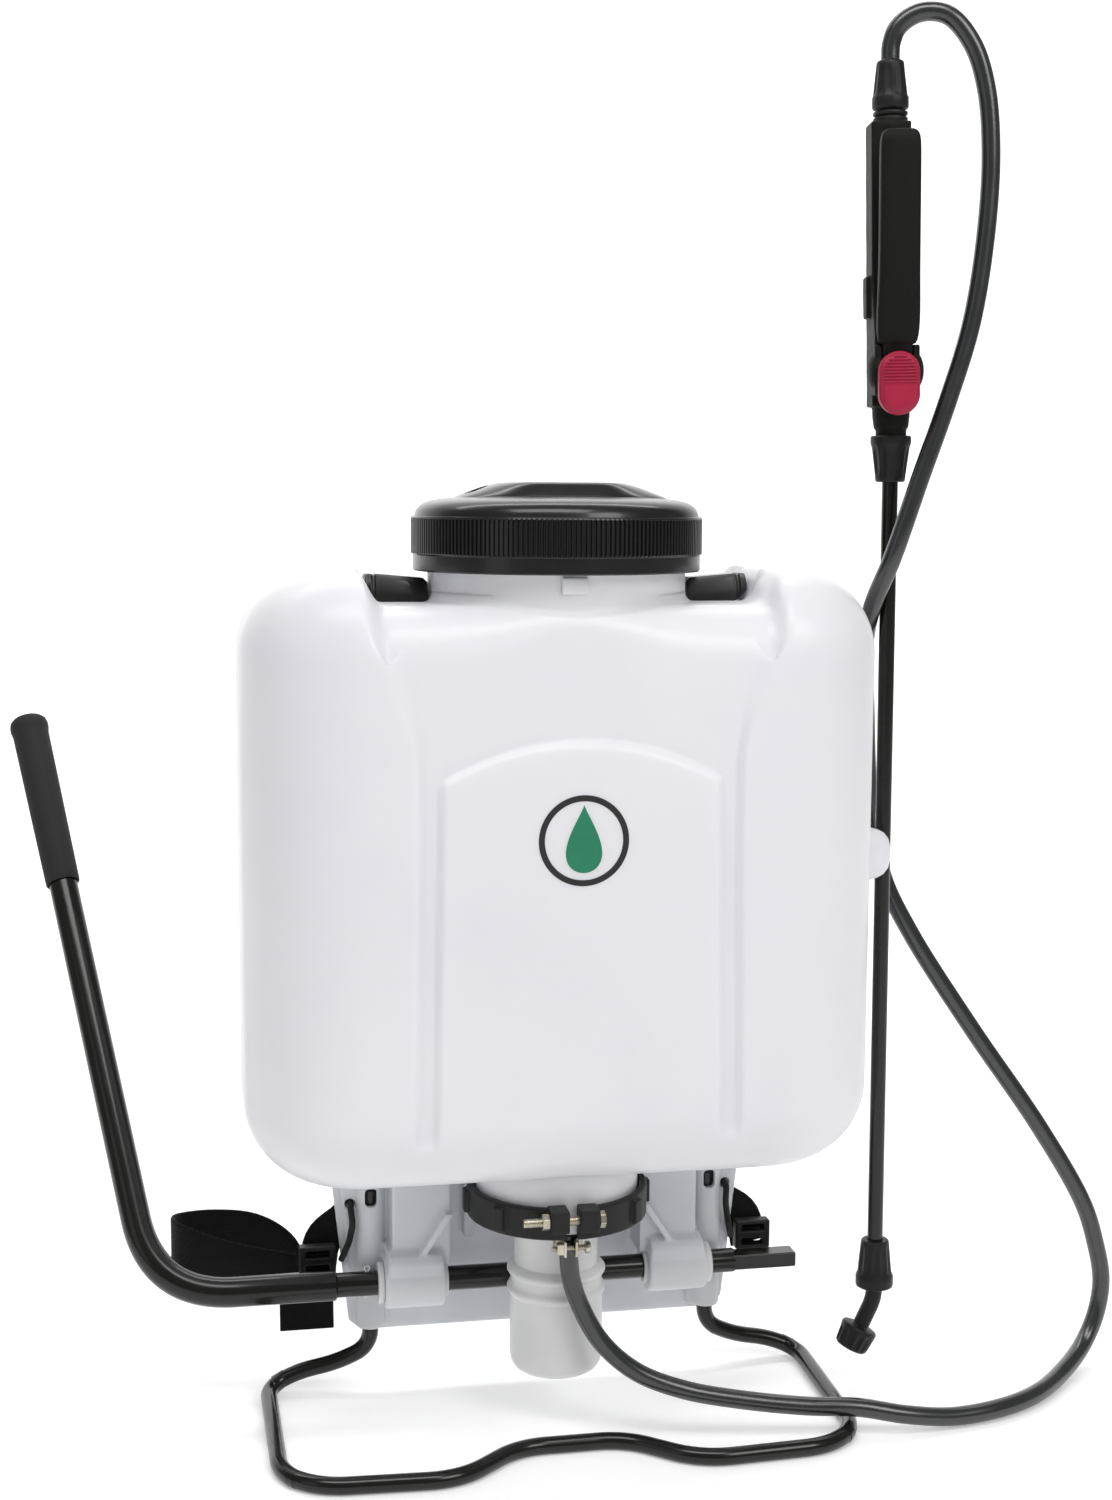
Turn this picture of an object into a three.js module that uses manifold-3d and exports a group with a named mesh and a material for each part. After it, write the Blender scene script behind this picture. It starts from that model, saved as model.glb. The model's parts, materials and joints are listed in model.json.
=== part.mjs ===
// A lever-operated backpack sprayer, in millimetres, +Z up, +X to the right and +Y towards the wearer.
// Every piece is placed from the vertical axis of the tank and its cap, with the floor at z 0.
// The exported group is then moved so that its origin is under the middle of the object.
import * as THREE from "three";
import { ParametricGeometry } from "three/addons/geometries/ParametricGeometry.js";
import { RoundedBoxGeometry } from "three/addons/geometries/RoundedBoxGeometry.js";
import { mergeVertices } from "three/addons/utils/BufferGeometryUtils.js";
import Module from "manifold-3d";

const wasm = await Module();
wasm.setup();

// Driving dimensions
const GAP = 0.3; // between pieces that touch
const TANK_HALF_WIDTH = 175;
const TANK_HALF_DEPTH = 82;
const TANK_BOTTOM = 150;
const TANK_TOP = 483;
const TANK_CORNER = 64; // radius of the upright corners, seen from above
const TANK_EDGE = 46; // radius of the top and bottom edges
const TANK_WALL = 3;
const SADDLE_HALF = 107; // half width of the saddle between the two shoulders
const SADDLE_DEPTH = 18; // how far it lies below them
const NECK_RADIUS = 71;
const NECK_BORE = 66.5;
const NECK_TOP = 494;
const CAP_RADIUS = 80;
const CAP_BOTTOM = 481.6;
const CAP_RING_TOP = 511;
const CAP_TOP = 529.5;
const PUMP_Y = -11; // the pump's vertical axis
const PUMP_NECK_RADIUS = 45.7;
const CUP_RADIUS = 26.3;
const PUMP_TUBE_RADIUS = 23.7;
const CYLINDER_BORE = 20.3;
const PUMP_FOOT = 29;
const FLANGE_BOTTOM = 122; // of the pump's flange, clamped to the tank's lower neck
const FLANGE_TOP = 129;
const TANK_NECK_BOTTOM = 131;
const SHAFT_Y = 22.9; // the rocker shaft's axis
const SHAFT_Z = 71;
const SHAFT_RADIUS = 7;
const CRANK_LENGTH = 35;
const CRANK_REST = THREE.MathUtils.degToRad(25); // below the level at rest
const LEVER_RADIUS = 8.6;
const LEVER_LEAN = THREE.MathUtils.degToRad(33.4); // of the raised lever, towards the wearer
const LEVER_SPLAY = THREE.MathUtils.degToRad(11.2); // outwards, away from the tank
const LEVER_START = 122;
const LEVER_CORNER = 225.7;
const LEVER_LENGTH = 376; // from the corner to the end of the grip
const GRIP_LENGTH = 116;
const COTTER_X = -104.5;
const BASE_TOP = 149.4;
const STAND_RADIUS = 4.75;
const CHANNEL_X = 101; // the stand's ends, and the base plate's sleeves round them
const CHANNEL_Y = 40;
const CHANNEL_TOP = 121;
const SCREW_X = 60; // the screws between the base plate and the tank
const SCREW_Y = 56;
const BOLT_Y = -65.5; // the clamp ring's bolt
const BOLT_Z = 133.2;
const KNOB_Z = 321;
const WAND_X = 191.7; // where the wand meets the handle
const HANDLE_FOOT = 557;
const WAND_LEAN = THREE.MathUtils.degToRad(-0.29);
const HANDLE_LEAN = THREE.MathUtils.degToRad(-1.6);
const HANDLE_TURN = THREE.MathUtils.degToRad(-9.5); // the trigger faces this way round from the front
const NOZZLE_TILT = THREE.MathUtils.degToRad(25.8);
const TRIGGER_PIVOT = [-15, 35]; // in the handle's own axes: y, and height above its foot
const LOCK_HEIGHT = 28;
const VALVE_HEIGHT = 65;
const HOSE_RADIUS = 5.25;
const HOSE_EXIT = [-0.6, -47];
const WEBBING_THICKNESS = 2.4;
const WEBBING_WIDTH = 30;
const STRAP_X = 88;
const PAD_BACK = 99;
const PAD_FRONT = 87;
const PAD_TOP = 392;
const PAD_FOOT = 190;
const HOOK_X = 112.5;
const HOOK_Z = 113;

const metal = (color, roughness) => new THREE.MeshStandardMaterial({ color, roughness, metalness: 1 });
const plastic = (color, roughness) => new THREE.MeshStandardMaterial({ color, roughness, metalness: 0 });
const whitePlastic = plastic(0xeceaf2, 0.42);
const basePlastic = plastic(0xe4ebf4, 0.4);
const clearPlastic = plastic(0xdfe6ec, 0.25);
const blackPlastic = plastic(0x141416, 0.45);
const glossBlack = plastic(0x0c0c0e, 0.2);
const paint = plastic(0x101012, 0.28);
const gripPlastic = plastic(0x2b2c2f, 0.7);
const hosePlastic = plastic(0x1b1c20, 0.5);
const redPlastic = plastic(0xb02346, 0.45);
const seal = plastic(0x1a1a1a, 0.8);
const webbing = plastic(0x121213, 0.95);
const padFabric = plastic(0x17181a, 0.95);
const zinc = metal(0xbdb8a6, 0.35);
const steel = metal(0xc4c6c8, 0.3);

const pieces = new THREE.Group();
const cordPieces = new THREE.Group();

// A closed mesh as a manifold-3d solid.
function solid(geometry) {
  const loose = geometry.index ? geometry.toNonIndexed() : geometry;
  const bare = new THREE.BufferGeometry().setAttribute("position", loose.getAttribute("position"));
  const merged = mergeVertices(bare, 1e-3);
  const vertProperties = merged.attributes.position.array;
  const triVerts = new Uint32Array(merged.index.array);
  return new wasm.Manifold(new wasm.Mesh({ numProp: 3, vertProperties, triVerts }));
}

function join(...geometries) {
  return geometryOf(geometries.map(solid).reduce((whole, part) => whole.add(part)));
}

function cut(geometry, ...tools) {
  return geometryOf(tools.map(solid).reduce((whole, tool) => whole.subtract(tool), solid(geometry)));
}

function geometryOf(manifold) {
  const { numProp, vertProperties, triVerts } = manifold.getMesh();
  const positions = new Float32Array((vertProperties.length / numProp) * 3);
  for (let i = 0; i < positions.length / 3; i++) {
    positions.set(vertProperties.subarray(i * numProp, i * numProp + 3), i * 3);
  }
  const geometry = new THREE.BufferGeometry();
  geometry.setAttribute("position", new THREE.BufferAttribute(positions, 3));
  geometry.setIndex(new THREE.BufferAttribute(triVerts, 1));
  return geometry;
}

function add(name, geometry, material, group = pieces) {
  geometry.computeVertexNormals();
  const mesh = new THREE.Mesh(geometry, material);
  mesh.name = name;
  group.add(mesh);
  return mesh;
}

const block = (x0, x1, y0, y1, z0, z1) =>
  new THREE.BoxGeometry(x1 - x0, y1 - y0, z1 - z0).translate((x0 + x1) / 2, (y0 + y1) / 2, (z0 + z1) / 2);

const softBlock = (x0, x1, y0, y1, z0, z1, radius) =>
  new RoundedBoxGeometry(x1 - x0, y1 - y0, z1 - z0, 1, radius)
    .translate((x0 + x1) / 2, (y0 + y1) / 2, (z0 + z1) / 2);

// A turned piece about a vertical axis, from [radius, height] pairs that start and end on the axis or close.
function turned(profile, x = 0, y = 0, sides = 32) {
  const points = profile.map(([radius, height]) => new THREE.Vector2(radius, height));
  return new THREE.LatheGeometry(points, sides).rotateX(Math.PI / 2).translate(x, y, 0);
}

// A rod or, with a bore, a ring about a vertical axis.
function rod(radius, z0, z1, x = 0, y = 0, bore = 0, sides = 16) {
  const outer = [[0, z0], [radius, z0], [radius, z1], [0, z1]];
  const ring = [[bore, z0], [radius, z0], [radius, z1], [bore, z1], [bore, z0]];
  return turned(bore ? ring : outer, x, y, sides);
}

// The same along X or Y.
const rodX = (radius, x0, x1, y, z, bore = 0, sides = 16) =>
  rod(radius, x0, x1, 0, 0, bore, sides).rotateY(Math.PI / 2).translate(0, y, z);

const rodY = (radius, y0, y1, x, z, bore = 0, sides = 10) =>
  rod(radius, -y1, -y0, 0, 0, bore, sides).rotateX(Math.PI / 2).translate(x, 0, z);

const vector = ([x, y, z]) => new THREE.Vector3(x, y, z);

// Straight runs joined by rounded corners.
function bentPath(corners, bends) {
  const path = new THREE.CurvePath();
  const points = corners.map(vector);
  let from = points[0];
  for (let i = 1; i < points.length - 1; i++) {
    const inward = points[i - 1].clone().sub(points[i]);
    const outward = points[i + 1].clone().sub(points[i]);
    const start = points[i].clone().addScaledVector(inward.normalize(), bends[i - 1]);
    const end = points[i].clone().addScaledVector(outward.normalize(), bends[i - 1]);
    path.add(new THREE.LineCurve3(from, start));
    path.add(new THREE.QuadraticBezierCurve3(start, points[i], end));
    from = end;
  }
  path.add(new THREE.LineCurve3(from, points.at(-1)));
  return path;
}

function circle(radius, sides) {
  const shape = new THREE.Shape();
  for (let i = 0; i < sides; i++) {
    const angle = (2 * Math.PI * i) / sides;
    shape[i ? "lineTo" : "moveTo"](radius * Math.cos(angle), radius * Math.sin(angle));
  }
  return shape;
}

const sweep = (path, shape, steps) =>
  new THREE.ExtrudeGeometry(shape, { extrudePath: path, steps, bevelEnabled: false });

// A flat outline of [u, v] pairs, extruded upwards from z0 to z1.
function plate(outline, z0, z1) {
  const shape = new THREE.Shape(outline.map(([u, v]) => new THREE.Vector2(u, v)));
  return new THREE.ExtrudeGeometry(shape, { depth: z1 - z0, bevelEnabled: false }).translate(0, 0, z0);
}

// The same with the outline standing in the XZ plane, from y0 to y1.
const uprightPlate = (outline, y0, y1) => plate(outline, -y1, -y0).rotateX(Math.PI / 2);

const clamp = THREE.MathUtils.clamp;
const smooth = THREE.MathUtils.smoothstep;

// A point of a rounded rectangle's outline, for u from 0 to 1 round it.
function outlinePoint(u, halfWidth, halfDepth, radius) {
  const quarter = Math.floor((((u % 1) + 1) % 1) * 4);
  const along = (((u % 1) + 1) % 1) * 4 - quarter;
  const t = quarter % 2 ? 1 - along : along;
  const angle = (clamp((t - 0.15) / 0.35, 0, 1) * Math.PI) / 2;
  const x = (halfWidth - radius) * clamp((1 - t) / 0.5, 0, 1) + radius * Math.cos(angle);
  const y = (halfDepth - radius) * clamp(t / 0.15, 0, 1) + radius * Math.sin(angle);
  return [quarter === 0 || quarter === 3 ? x : -x, quarter < 2 ? y : -y];
}

// A rounded box: v runs from the middle of the underside, round the lower edge, up and over to the top.
function roundedTank(halfWidth, halfDepth, bottom, top, edge, around, up) {
  return new ParametricGeometry((u, v, target) => {
    const spread = clamp(Math.min(v, 1 - v) / 0.1, 0, 1);
    const roll = (clamp((Math.min(v, 1 - v) - 0.1) / 0.2, 0, 1) * Math.PI) / 2;
    const rise = edge * (1 - Math.cos(roll)) + (top - bottom - 2 * edge) * clamp((v - 0.3) / 0.4, 0, 1);
    const z = v > 0.5 ? top - edge * (1 - Math.cos(roll)) : bottom + rise;
    const inset = edge * (1 - Math.sin(roll));
    const radius = Math.max(TANK_CORNER - inset, 4) * spread;
    const [x, y] = outlinePoint(u, (halfWidth - inset) * spread, (halfDepth - inset) * spread, radius);
    target.set(x, y, v > 0.5 && v < 0.7 ? bottom + rise : z);
  }, around, up);
}

const NECK_FOOT = 440; // inside the tank's skin

function tank() {
  const saddle = (z) => uprightPlate([[-SADDLE_HALF, z], [SADDLE_HALF, z], [SADDLE_HALF + 4, 500],
    [-SADDLE_HALF - 4, 500]], -100, 100);
  const outer = cut(roundedTank(TANK_HALF_WIDTH, TANK_HALF_DEPTH, TANK_BOTTOM, TANK_TOP, TANK_EDGE, 36, 16),
    saddle(TANK_TOP - SADDLE_DEPTH));
  const inner = cut(roundedTank(TANK_HALF_WIDTH - TANK_WALL, TANK_HALF_DEPTH - TANK_WALL,
    TANK_BOTTOM + TANK_WALL, TANK_TOP - TANK_WALL, TANK_EDGE, 20, 10),
    saddle(TANK_TOP - SADDLE_DEPTH - TANK_WALL));
  const neck = turned([[0, NECK_FOOT], [NECK_RADIUS + 8, NECK_FOOT], [NECK_RADIUS + 3, 464],
    [NECK_RADIUS, 472], [NECK_RADIUS, NECK_TOP], [0, NECK_TOP]], 0, 0, 28);
  const thread = turned([[0, 485], [NECK_RADIUS, 485], [NECK_RADIUS + 2, 487], [NECK_RADIUS, 489],
    [0, 489]], 0, 0, 28);
  const pumpNeck = rod(PUMP_NECK_RADIUS, TANK_NECK_BOTTOM, TANK_BOTTOM + 12, 0, PUMP_Y, 0, 20);
  const knob = [[0, 0], [15.5, 0], [15.5, 10], [13, 15], [7, 17.6], [0, 18.5]];
  const knobs = [-1, 1].map((side) => turned(knob, 0, 0, 14)
    .scale(1, 0.5, 1).rotateY(Math.PI / 2).translate(TANK_HALF_WIDTH - 2, side * 15.5, KNOB_Z));
  const pads = [270, 378].map((z) => softBlock(170, 177, -16, 16, z - 12, z + 12, 2));
  const bosses = [-1, 1].map((side) => rod(8, TANK_BOTTOM + 1, TANK_BOTTOM + 22, side * SCREW_X, SCREW_Y,
    0, 16));
  const holes = [-1, 1].map((side) => rod(2.4, 140, TANK_BOTTOM + 17, side * SCREW_X, SCREW_Y, 0, 12));
  const fillerBore = rod(NECK_BORE, NECK_FOOT - 10, NECK_TOP + 5, 0, 0, 0, 24);
  const pumpBore = rod(PUMP_NECK_RADIUS - 4, 120, TANK_BOTTOM + 20, 0, PUMP_Y, 0, 20);
  const shell = cut(join(outer, neck, thread, pumpNeck, ...knobs, ...pads), inner, fillerBore, pumpBore);
  add("tank", cut(join(shell, ...bosses), ...holes), whitePlastic);
}

// Screw cap with its grip, and what sits under it in the tank's neck.
function filler() {
  const cap = turned([[NECK_RADIUS + 3.5, CAP_BOTTOM], [CAP_RADIUS - 1, CAP_BOTTOM], [CAP_RADIUS - 1, 490],
    [CAP_RADIUS, 491], [CAP_RADIUS, CAP_RING_TOP - 1], [CAP_RADIUS - 1, CAP_RING_TOP],
    [CAP_RADIUS - 3, CAP_RING_TOP], [CAP_RADIUS - 4, 512], [68, 518], [50, 521], [0, 522.5], [0, 517],
    [50, 515], [68, 508], [72, 505], [72, 499.8], [NECK_RADIUS + 3.5, 499.8],
    [NECK_RADIUS + 3.5, CAP_BOTTOM]], 0, 0, 32);
  const outline = [[-58, -20], [-30, -38], [34, -38], [62, -18], [62, 18], [34, 38], [-30, 38], [-58, 20]];
  const ends = uprightPlate([[-58, 517], [62, 517], [62, 520.5], [38, CAP_TOP], [-34, CAP_TOP],
    [-58, 520.5]], -40, 40);
  const grip = geometryOf(solid(plate(outline, 517, CAP_TOP)).intersect(solid(ends)));
  const pocket = rod(14, 523.5, 540, -52, 0, 0, 16);
  const vent = rod(2.8, 500, 540, 22, 0, 0, 12);
  add("tank_cap", cut(join(cap, cut(grip, pocket)), vent), glossBlack);
  add("cap_vent_valve", turned([[0, 511.6], [7, 512], [7.5, 513.2], [2.4, 514.6], [2.4, 528.6], [0, 528.8]],
    22, 0, 16), seal);
  add("cap_gasket", rod(NECK_RADIUS, 496.8, 499.4, 0, 0, 63, 20), seal);
  const lip = 2.2;
  const basket = turned([[0, 404], [52, 404], [60, 410], [64, 490], [64, NECK_TOP + GAP],
    [NECK_RADIUS - 1, NECK_TOP + GAP], [NECK_RADIUS - 1, NECK_TOP + lip], [61.5, NECK_TOP + lip], [58, 411],
    [51, 406.5], [0, 406.5]], 0, 0, 20);
  const windows = [0, 1, 2].map((turn) => block(-80, 80, -12, 12, 418, 478).rotateZ((turn * Math.PI) / 3));
  add("strainer_basket", cut(basket, ...windows), clearPlastic);
}

// The white carrier behind the pump: it holds the shaft's bushes, the stand's ends and the lower strap hooks.
function basePlate() {
  const half = [[106, 34], [113, 40], [117, 75], [122, 120], [125, BASE_TOP]];
  const panel = uprightPlate([...half, ...half.map(([x, z]) => [-x, z]).reverse()], 46, 50);
  const deck = block(-112, 112, 36, 70, BASE_TOP - 5, BASE_TOP);
  const parts = [deck];
  const tools = [];
  for (const side of [-1, 1]) {
    const span = (near, far) => (side > 0 ? [near, far] : [-far, -near]);
    const facing = (outline) => (side > 0 ? outline : outline.map(([x, z]) => [-x, z]).reverse());
    parts.push(rodX(15, ...span(60, 95), SHAFT_Y, SHAFT_Z, 0, 20));
    parts.push(softBlock(...span(61, 93), 11, 48, SHAFT_Z, SHAFT_Z + 18, 5));
    parts.push(block(...span(60, 95), SHAFT_Y, 48, SHAFT_Z - 13, SHAFT_Z + 13));
    parts.push(block(...span(56, 90), 20, 48, SHAFT_Z + 8, BASE_TOP - 1));
    parts.push(uprightPlate(facing([[74, 84], [78, 84], [60, 112], [55, 112]]), 14, 40));
    parts.push(block(...span(40, 46), 36, 48, 90, BASE_TOP));
    parts.push(rod(8.6, 39, BASE_TOP - 1, side * CHANNEL_X, CHANNEL_Y, 0, 12));
    parts.push(uprightPlate(facing([[90, 38], [106, 38], [113, 75], [118, 120], [120, BASE_TOP - 2],
      [90, BASE_TOP - 2]]), CHANNEL_Y, 48));
    tools.push(rodX(10 + GAP, ...span(40, 110), SHAFT_Y, SHAFT_Z, 0, 16));
    tools.push(rodX(12.2, ...span(95, 110), SHAFT_Y, SHAFT_Z, 0, 16));
    tools.push(rod(7.4, 30, 46, side * CHANNEL_X, CHANNEL_Y, 0, 10));
    tools.push(rod(STAND_RADIUS + GAP, 30, CHANNEL_TOP + 2, side * CHANNEL_X, CHANNEL_Y, 0, 10));
    tools.push(softBlock(...span(CHANNEL_X - 3.5, CHANNEL_X + 3.5), 20, CHANNEL_Y, 114, 123, 2));
    tools.push(rodY(3.2, 30, 60, side * HOOK_X, HOOK_Z));
    tools.push(rod(2.9, 130, 160, side * SCREW_X, SCREW_Y, 0, 12));
  }
  add("base_plate", cut(join(panel, ...parts), ...tools), basePlastic);
  for (const [side, name] of [[-1, "left"], [1, "right"]]) {
    const screw = turned([[0, 140.6], [5, 140.6], [5.4, 143.8], [2.1, 144.1], [2.1, 162], [0, 163.5]],
      side * SCREW_X, SCREW_Y, 12);
    add("base_screw_" + name, screw, zinc);
    const bush = join(rodX(10, 58, 98, SHAFT_Y, SHAFT_Z), rodX(11.8, 95.3, 98.5, SHAFT_Y, SHAFT_Z));
    const bored = cut(bush, rodX(SHAFT_RADIUS + GAP, 50, 110, SHAFT_Y, SHAFT_Z));
    const faced = side > 0 ? bored : bored.rotateZ(Math.PI).translate(0, 2 * SHAFT_Y, 0);
    add("shaft_bush_" + name, faced, whitePlastic);
  }
}

// Bent tube stand: its ends stand in the base plate's channels and its loop lies on the floor.
function stand() {
  const z = STAND_RADIUS - 0.6; // sunk a little, so that cutting it at the floor leaves a flat underside
  const half = [[CHANNEL_X, CHANNEL_Y, CHANNEL_TOP], [CHANNEL_X, CHANNEL_Y, 27], [118, 43, 17],
    [146, 45, 11], [161, 41, z], [160, -66, z], [143, -87, z], [66, -91, z], [30, -60, z]];
  const left = half.map(([x, y, height]) => [-x, y, height]).reverse();
  const bends = [10, 12, 12, 12, 14, 18, 18, 16];
  const path = bentPath([...half, ...left], [...bends, 16, 16, ...bends.slice(1).reverse(), 10].slice(0, 16));
  const tube = sweep(path, circle(STAND_RADIUS, 8), 60);
  add("stand_frame", cut(tube, block(-300, 300, -200, 200, -10, 0)), paint);
}

// Pump: housing clamped to the tank's lower neck, pressure chamber above it.
function pump() {
  const housing = turned([[0, PUMP_FOOT], [19, PUMP_FOOT], [CUP_RADIUS - 2, PUMP_FOOT + 3],
    [CUP_RADIUS, PUMP_FOOT + 8], [CUP_RADIUS, 74], [27.9, 75.3], [27.9, 77.8], [26, 80], [26, 84],
    [27.9, 86], [27.9, 88.5], [PUMP_TUBE_RADIUS, 91], [PUMP_TUBE_RADIUS, FLANGE_BOTTOM],
    [PUMP_NECK_RADIUS, FLANGE_BOTTOM], [PUMP_NECK_RADIUS, FLANGE_TOP], [27, FLANGE_TOP], [24, 131],
    [24, 156], [0, 156], [0, 152], [CYLINDER_BORE, 152], [CYLINDER_BORE, 94], [22.5, 90], [22.5, 39],
    [16, 33], [0, 33]], 0, PUMP_Y, 18);
  const slot = block(-10, 10, 0, 20, 44, 101);
  const outlet = rod(4, 140, 160, 0, PUMP_Y, 0, 12);
  const port = rod(3, 115, 135, ...HOSE_EXIT, 0, 12);
  add("pump_housing", cut(housing, slot, outlet, port), basePlastic);
  add("pump_seal_ring", rod(PUMP_NECK_RADIUS - 0.6, FLANGE_TOP + GAP, 130.7, 0, PUMP_Y, 37.5, 18), seal);
  const chamber = turned([[27.6, FLANGE_TOP + 0.4], [36, FLANGE_TOP + 0.4], [36, 214], [30, 228], [16, 236],
    [0, 238], [0, 235], [15, 233], [28, 226], [33.4, 213], [33.4, FLANGE_TOP + 3], [27.6, FLANGE_TOP + 3],
    [27.6, FLANGE_TOP + 0.4]], 0, PUMP_Y, 16);
  add("pressure_chamber", chamber, clearPlastic);
  const valve = [[0, 149.5], [3, 149.5], [3, 156.3], [9, 156.3], [8, 159], [0, 160]];
  add("outlet_valve", turned(valve, 0, PUMP_Y, 14), seal);
}

// The split ring that clamps the pump to the tank, and its bolt.
function clampRing() {
  const ring = rod(51, 120.6, 138.5, 0, PUMP_Y, PUMP_NECK_RADIUS + 1, 24);
  const ribs = [];
  for (const turn of [0, 45, 90, 135, 180, 222, 318]) {
    const angle = THREE.MathUtils.degToRad(turn);
    ribs.push(block(48, 53.5, -3.5, 3.5, 123, 136).rotateZ(angle).translate(0, PUMP_Y, 0));
  }
  const lugs = [[-14, -3.8], [2.2, 13]].map(([x0, x1]) => softBlock(x0, x1, -71, -58, 127.5, 140, 2));
  const opening = block(-3.8, 2.2, -90, -50, 100, 150);
  const boltHole = rodX(2.8, -60, 60, BOLT_Y, BOLT_Z, 0, 12);
  add("pump_clamp_ring", cut(join(ring, ...ribs, ...lugs), opening, boltHole), blackPlastic);
  const bolt = join(rodX(2.5, -28.5, 14, BOLT_Y, BOLT_Z, 0, 12), rodX(4.6, 13.3, 16.5, BOLT_Y, BOLT_Z, 0, 6));
  add("clamp_bolt", bolt, zinc);
  add("clamp_nut", rodX(4.6, -18.3, -14.3, BOLT_Y, BOLT_Z, 3.4, 6), zinc);
}

// Under the flange: the stub that the hose is pushed on, and the band that holds it there.
function hoseEnd() {
  const [x, y] = HOSE_EXIT;
  const top = FLANGE_BOTTOM - GAP;
  add("hose_barb", turned([[0, 119.4], [6, 119.4], [6.6, 120], [6.6, top], [0, top]], x, y, 16),
    blackPlastic);
  const screwY = y - 9.6;
  const screwZ = 114.7;
  const ears = block(x - 8, x + 7, y - 13, y - 5.8, screwZ - 4, screwZ + 4);
  const band = join(rod(8.2, screwZ - 4.4, screwZ + 4.4, x, y, 6.8, 14), ears);
  add("hose_clamp_band", cut(band, rodX(1.9, -20, 40, screwY, screwZ, 0, 10)), zinc);
  const screw = join(rodX(1.6, -11.2, 8, screwY, screwZ, 0, 10), rodX(3.4, 7.4, 10.2, screwY, screwZ, 0, 10));
  add("hose_clamp_screw", screw, zinc);
}

// What the pump works with: a crank on the rocker shaft lifts the piston by a pin in a level slot.
function crankAndPiston() {
  const pinY = SHAFT_Y - CRANK_LENGTH * Math.cos(CRANK_REST);
  const pinZ = SHAFT_Z - CRANK_LENGTH * Math.sin(CRANK_REST);
  const arm = block(-3.8, 3.8, -CRANK_LENGTH, -8, -4, 4).rotateX(CRANK_REST).translate(0, SHAFT_Y, SHAFT_Z);
  const crank = join(arm, rodX(10, -8, 8, SHAFT_Y, SHAFT_Z, 0, 16), rodX(6, -3.8, 3.8, pinY, pinZ));
  const shaftBore = rodX(SHAFT_RADIUS + GAP, -20, 20, SHAFT_Y, SHAFT_Z);
  add("crank_arm", cut(crank, shaftBore, rodX(3 + GAP, -10, 10, pinY, pinZ, 0, 16)), steel);
  add("crank_pin", rodX(3, -10.5, 10.5, pinY, pinZ, 0, 16), steel);
  const cheeks = [-1, 1].map((side) => block(side > 0 ? 4.4 : -9.6, side > 0 ? 9.6 : -4.4, PUMP_Y - 9,
    PUMP_Y + 9, pinZ - 8, pinZ + 16));
  const bridge = block(-9.6, 9.6, PUMP_Y - 9, PUMP_Y + 9, pinZ + 10, pinZ + 16);
  const pinSlot = softBlock(-20, 20, PUMP_Y - 6.5, PUMP_Y + 6.5, pinZ - 3.6, pinZ + 3.6, 3);
  add("piston_rod", cut(join(...cheeks, bridge, rod(5, pinZ + 14, 104, 0, PUMP_Y, 0, 16)), pinSlot), steel);
  add("piston_head", turned([[0, 104.3], [17, 104.3], [19.6, 105.5], [19.6, 109], [15, 109.3], [15, 118],
    [0, 118]], 0, PUMP_Y, 16), whitePlastic);
  add("piston_cup_seal", turned([[15.4, 109.6], [19.7, 109.6], [19.9, 117], [18.2, 117], [15.4, 112.5],
    [15.4, 109.6]], 0, PUMP_Y, 16), seal);
}

function shaftAndLever() {
  const round = rodX(SHAFT_RADIUS, -147, 118, SHAFT_Y, SHAFT_Z, 0, 16);
  const flat = softBlock(112, 151, SHAFT_Y - 6.2, SHAFT_Y + 6.2, SHAFT_Z - 4.4, SHAFT_Z + 4.4, 1);
  const pinHole = rod(1.9, 40, 100, COTTER_X, SHAFT_Y, 0, 10);
  add("pump_shaft", cut(join(round, flat), pinHole), paint);
  const eye = new THREE.TorusGeometry(1.2, 0.6, 5, 10).rotateX(Math.PI / 2)
    .translate(COTTER_X, SHAFT_Y, SHAFT_Z + SHAFT_RADIUS + 2.1);
  add("cotter_pin", join(rod(1.5, SHAFT_Z - 9, SHAFT_Z + 8.2, COTTER_X, SHAFT_Y, 0, 10), eye), steel);

  // In the lever's own plane: u runs left from the shaft's middle, w rises along the lean.
  const lean = new THREE.Group();
  lean.position.set(0, SHAFT_Y, SHAFT_Z);
  lean.rotation.x = -LEVER_LEAN;
  pieces.add(lean);
  const along = (distance) => [-LEVER_CORNER - distance * Math.sin(LEVER_SPLAY), 0,
    distance * Math.cos(LEVER_SPLAY)];
  const path = bentPath([[-LEVER_START, 0, 0], along(0), along(LEVER_LENGTH - 4)], [43]);
  const tube = sweep(path, circle(LEVER_RADIUS, 10), 20);
  const socket = rodX(SHAFT_RADIUS + GAP, -148, -100, 0, 0, 0, 20);
  add("lever_tube", cut(tube, socket), paint, lean);
  const grip = turned([[0, LEVER_LENGTH - GRIP_LENGTH], [10, LEVER_LENGTH - GRIP_LENGTH],
    [11.5, LEVER_LENGTH - 8], [10.5, LEVER_LENGTH - 2], [8, LEVER_LENGTH], [0, LEVER_LENGTH + 0.6]], 0, 0,
    14);
  const bore = rod(LEVER_RADIUS + GAP, 0, LEVER_LENGTH - 3.4, 0, 0, 0, 12);
  const sleeve = cut(grip, bore).rotateY(-LEVER_SPLAY).translate(-LEVER_CORNER, 0, 0);
  add("lever_grip", sleeve, gripPlastic, lean);
}

// A group whose origin is the handle's foot; heights in it count from there.
function leaningGroup(lean) {
  const group = new THREE.Group();
  group.position.set(WAND_X, 0, HANDLE_FOOT);
  group.rotation.y = lean;
  pieces.add(group);
  return group;
}

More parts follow.
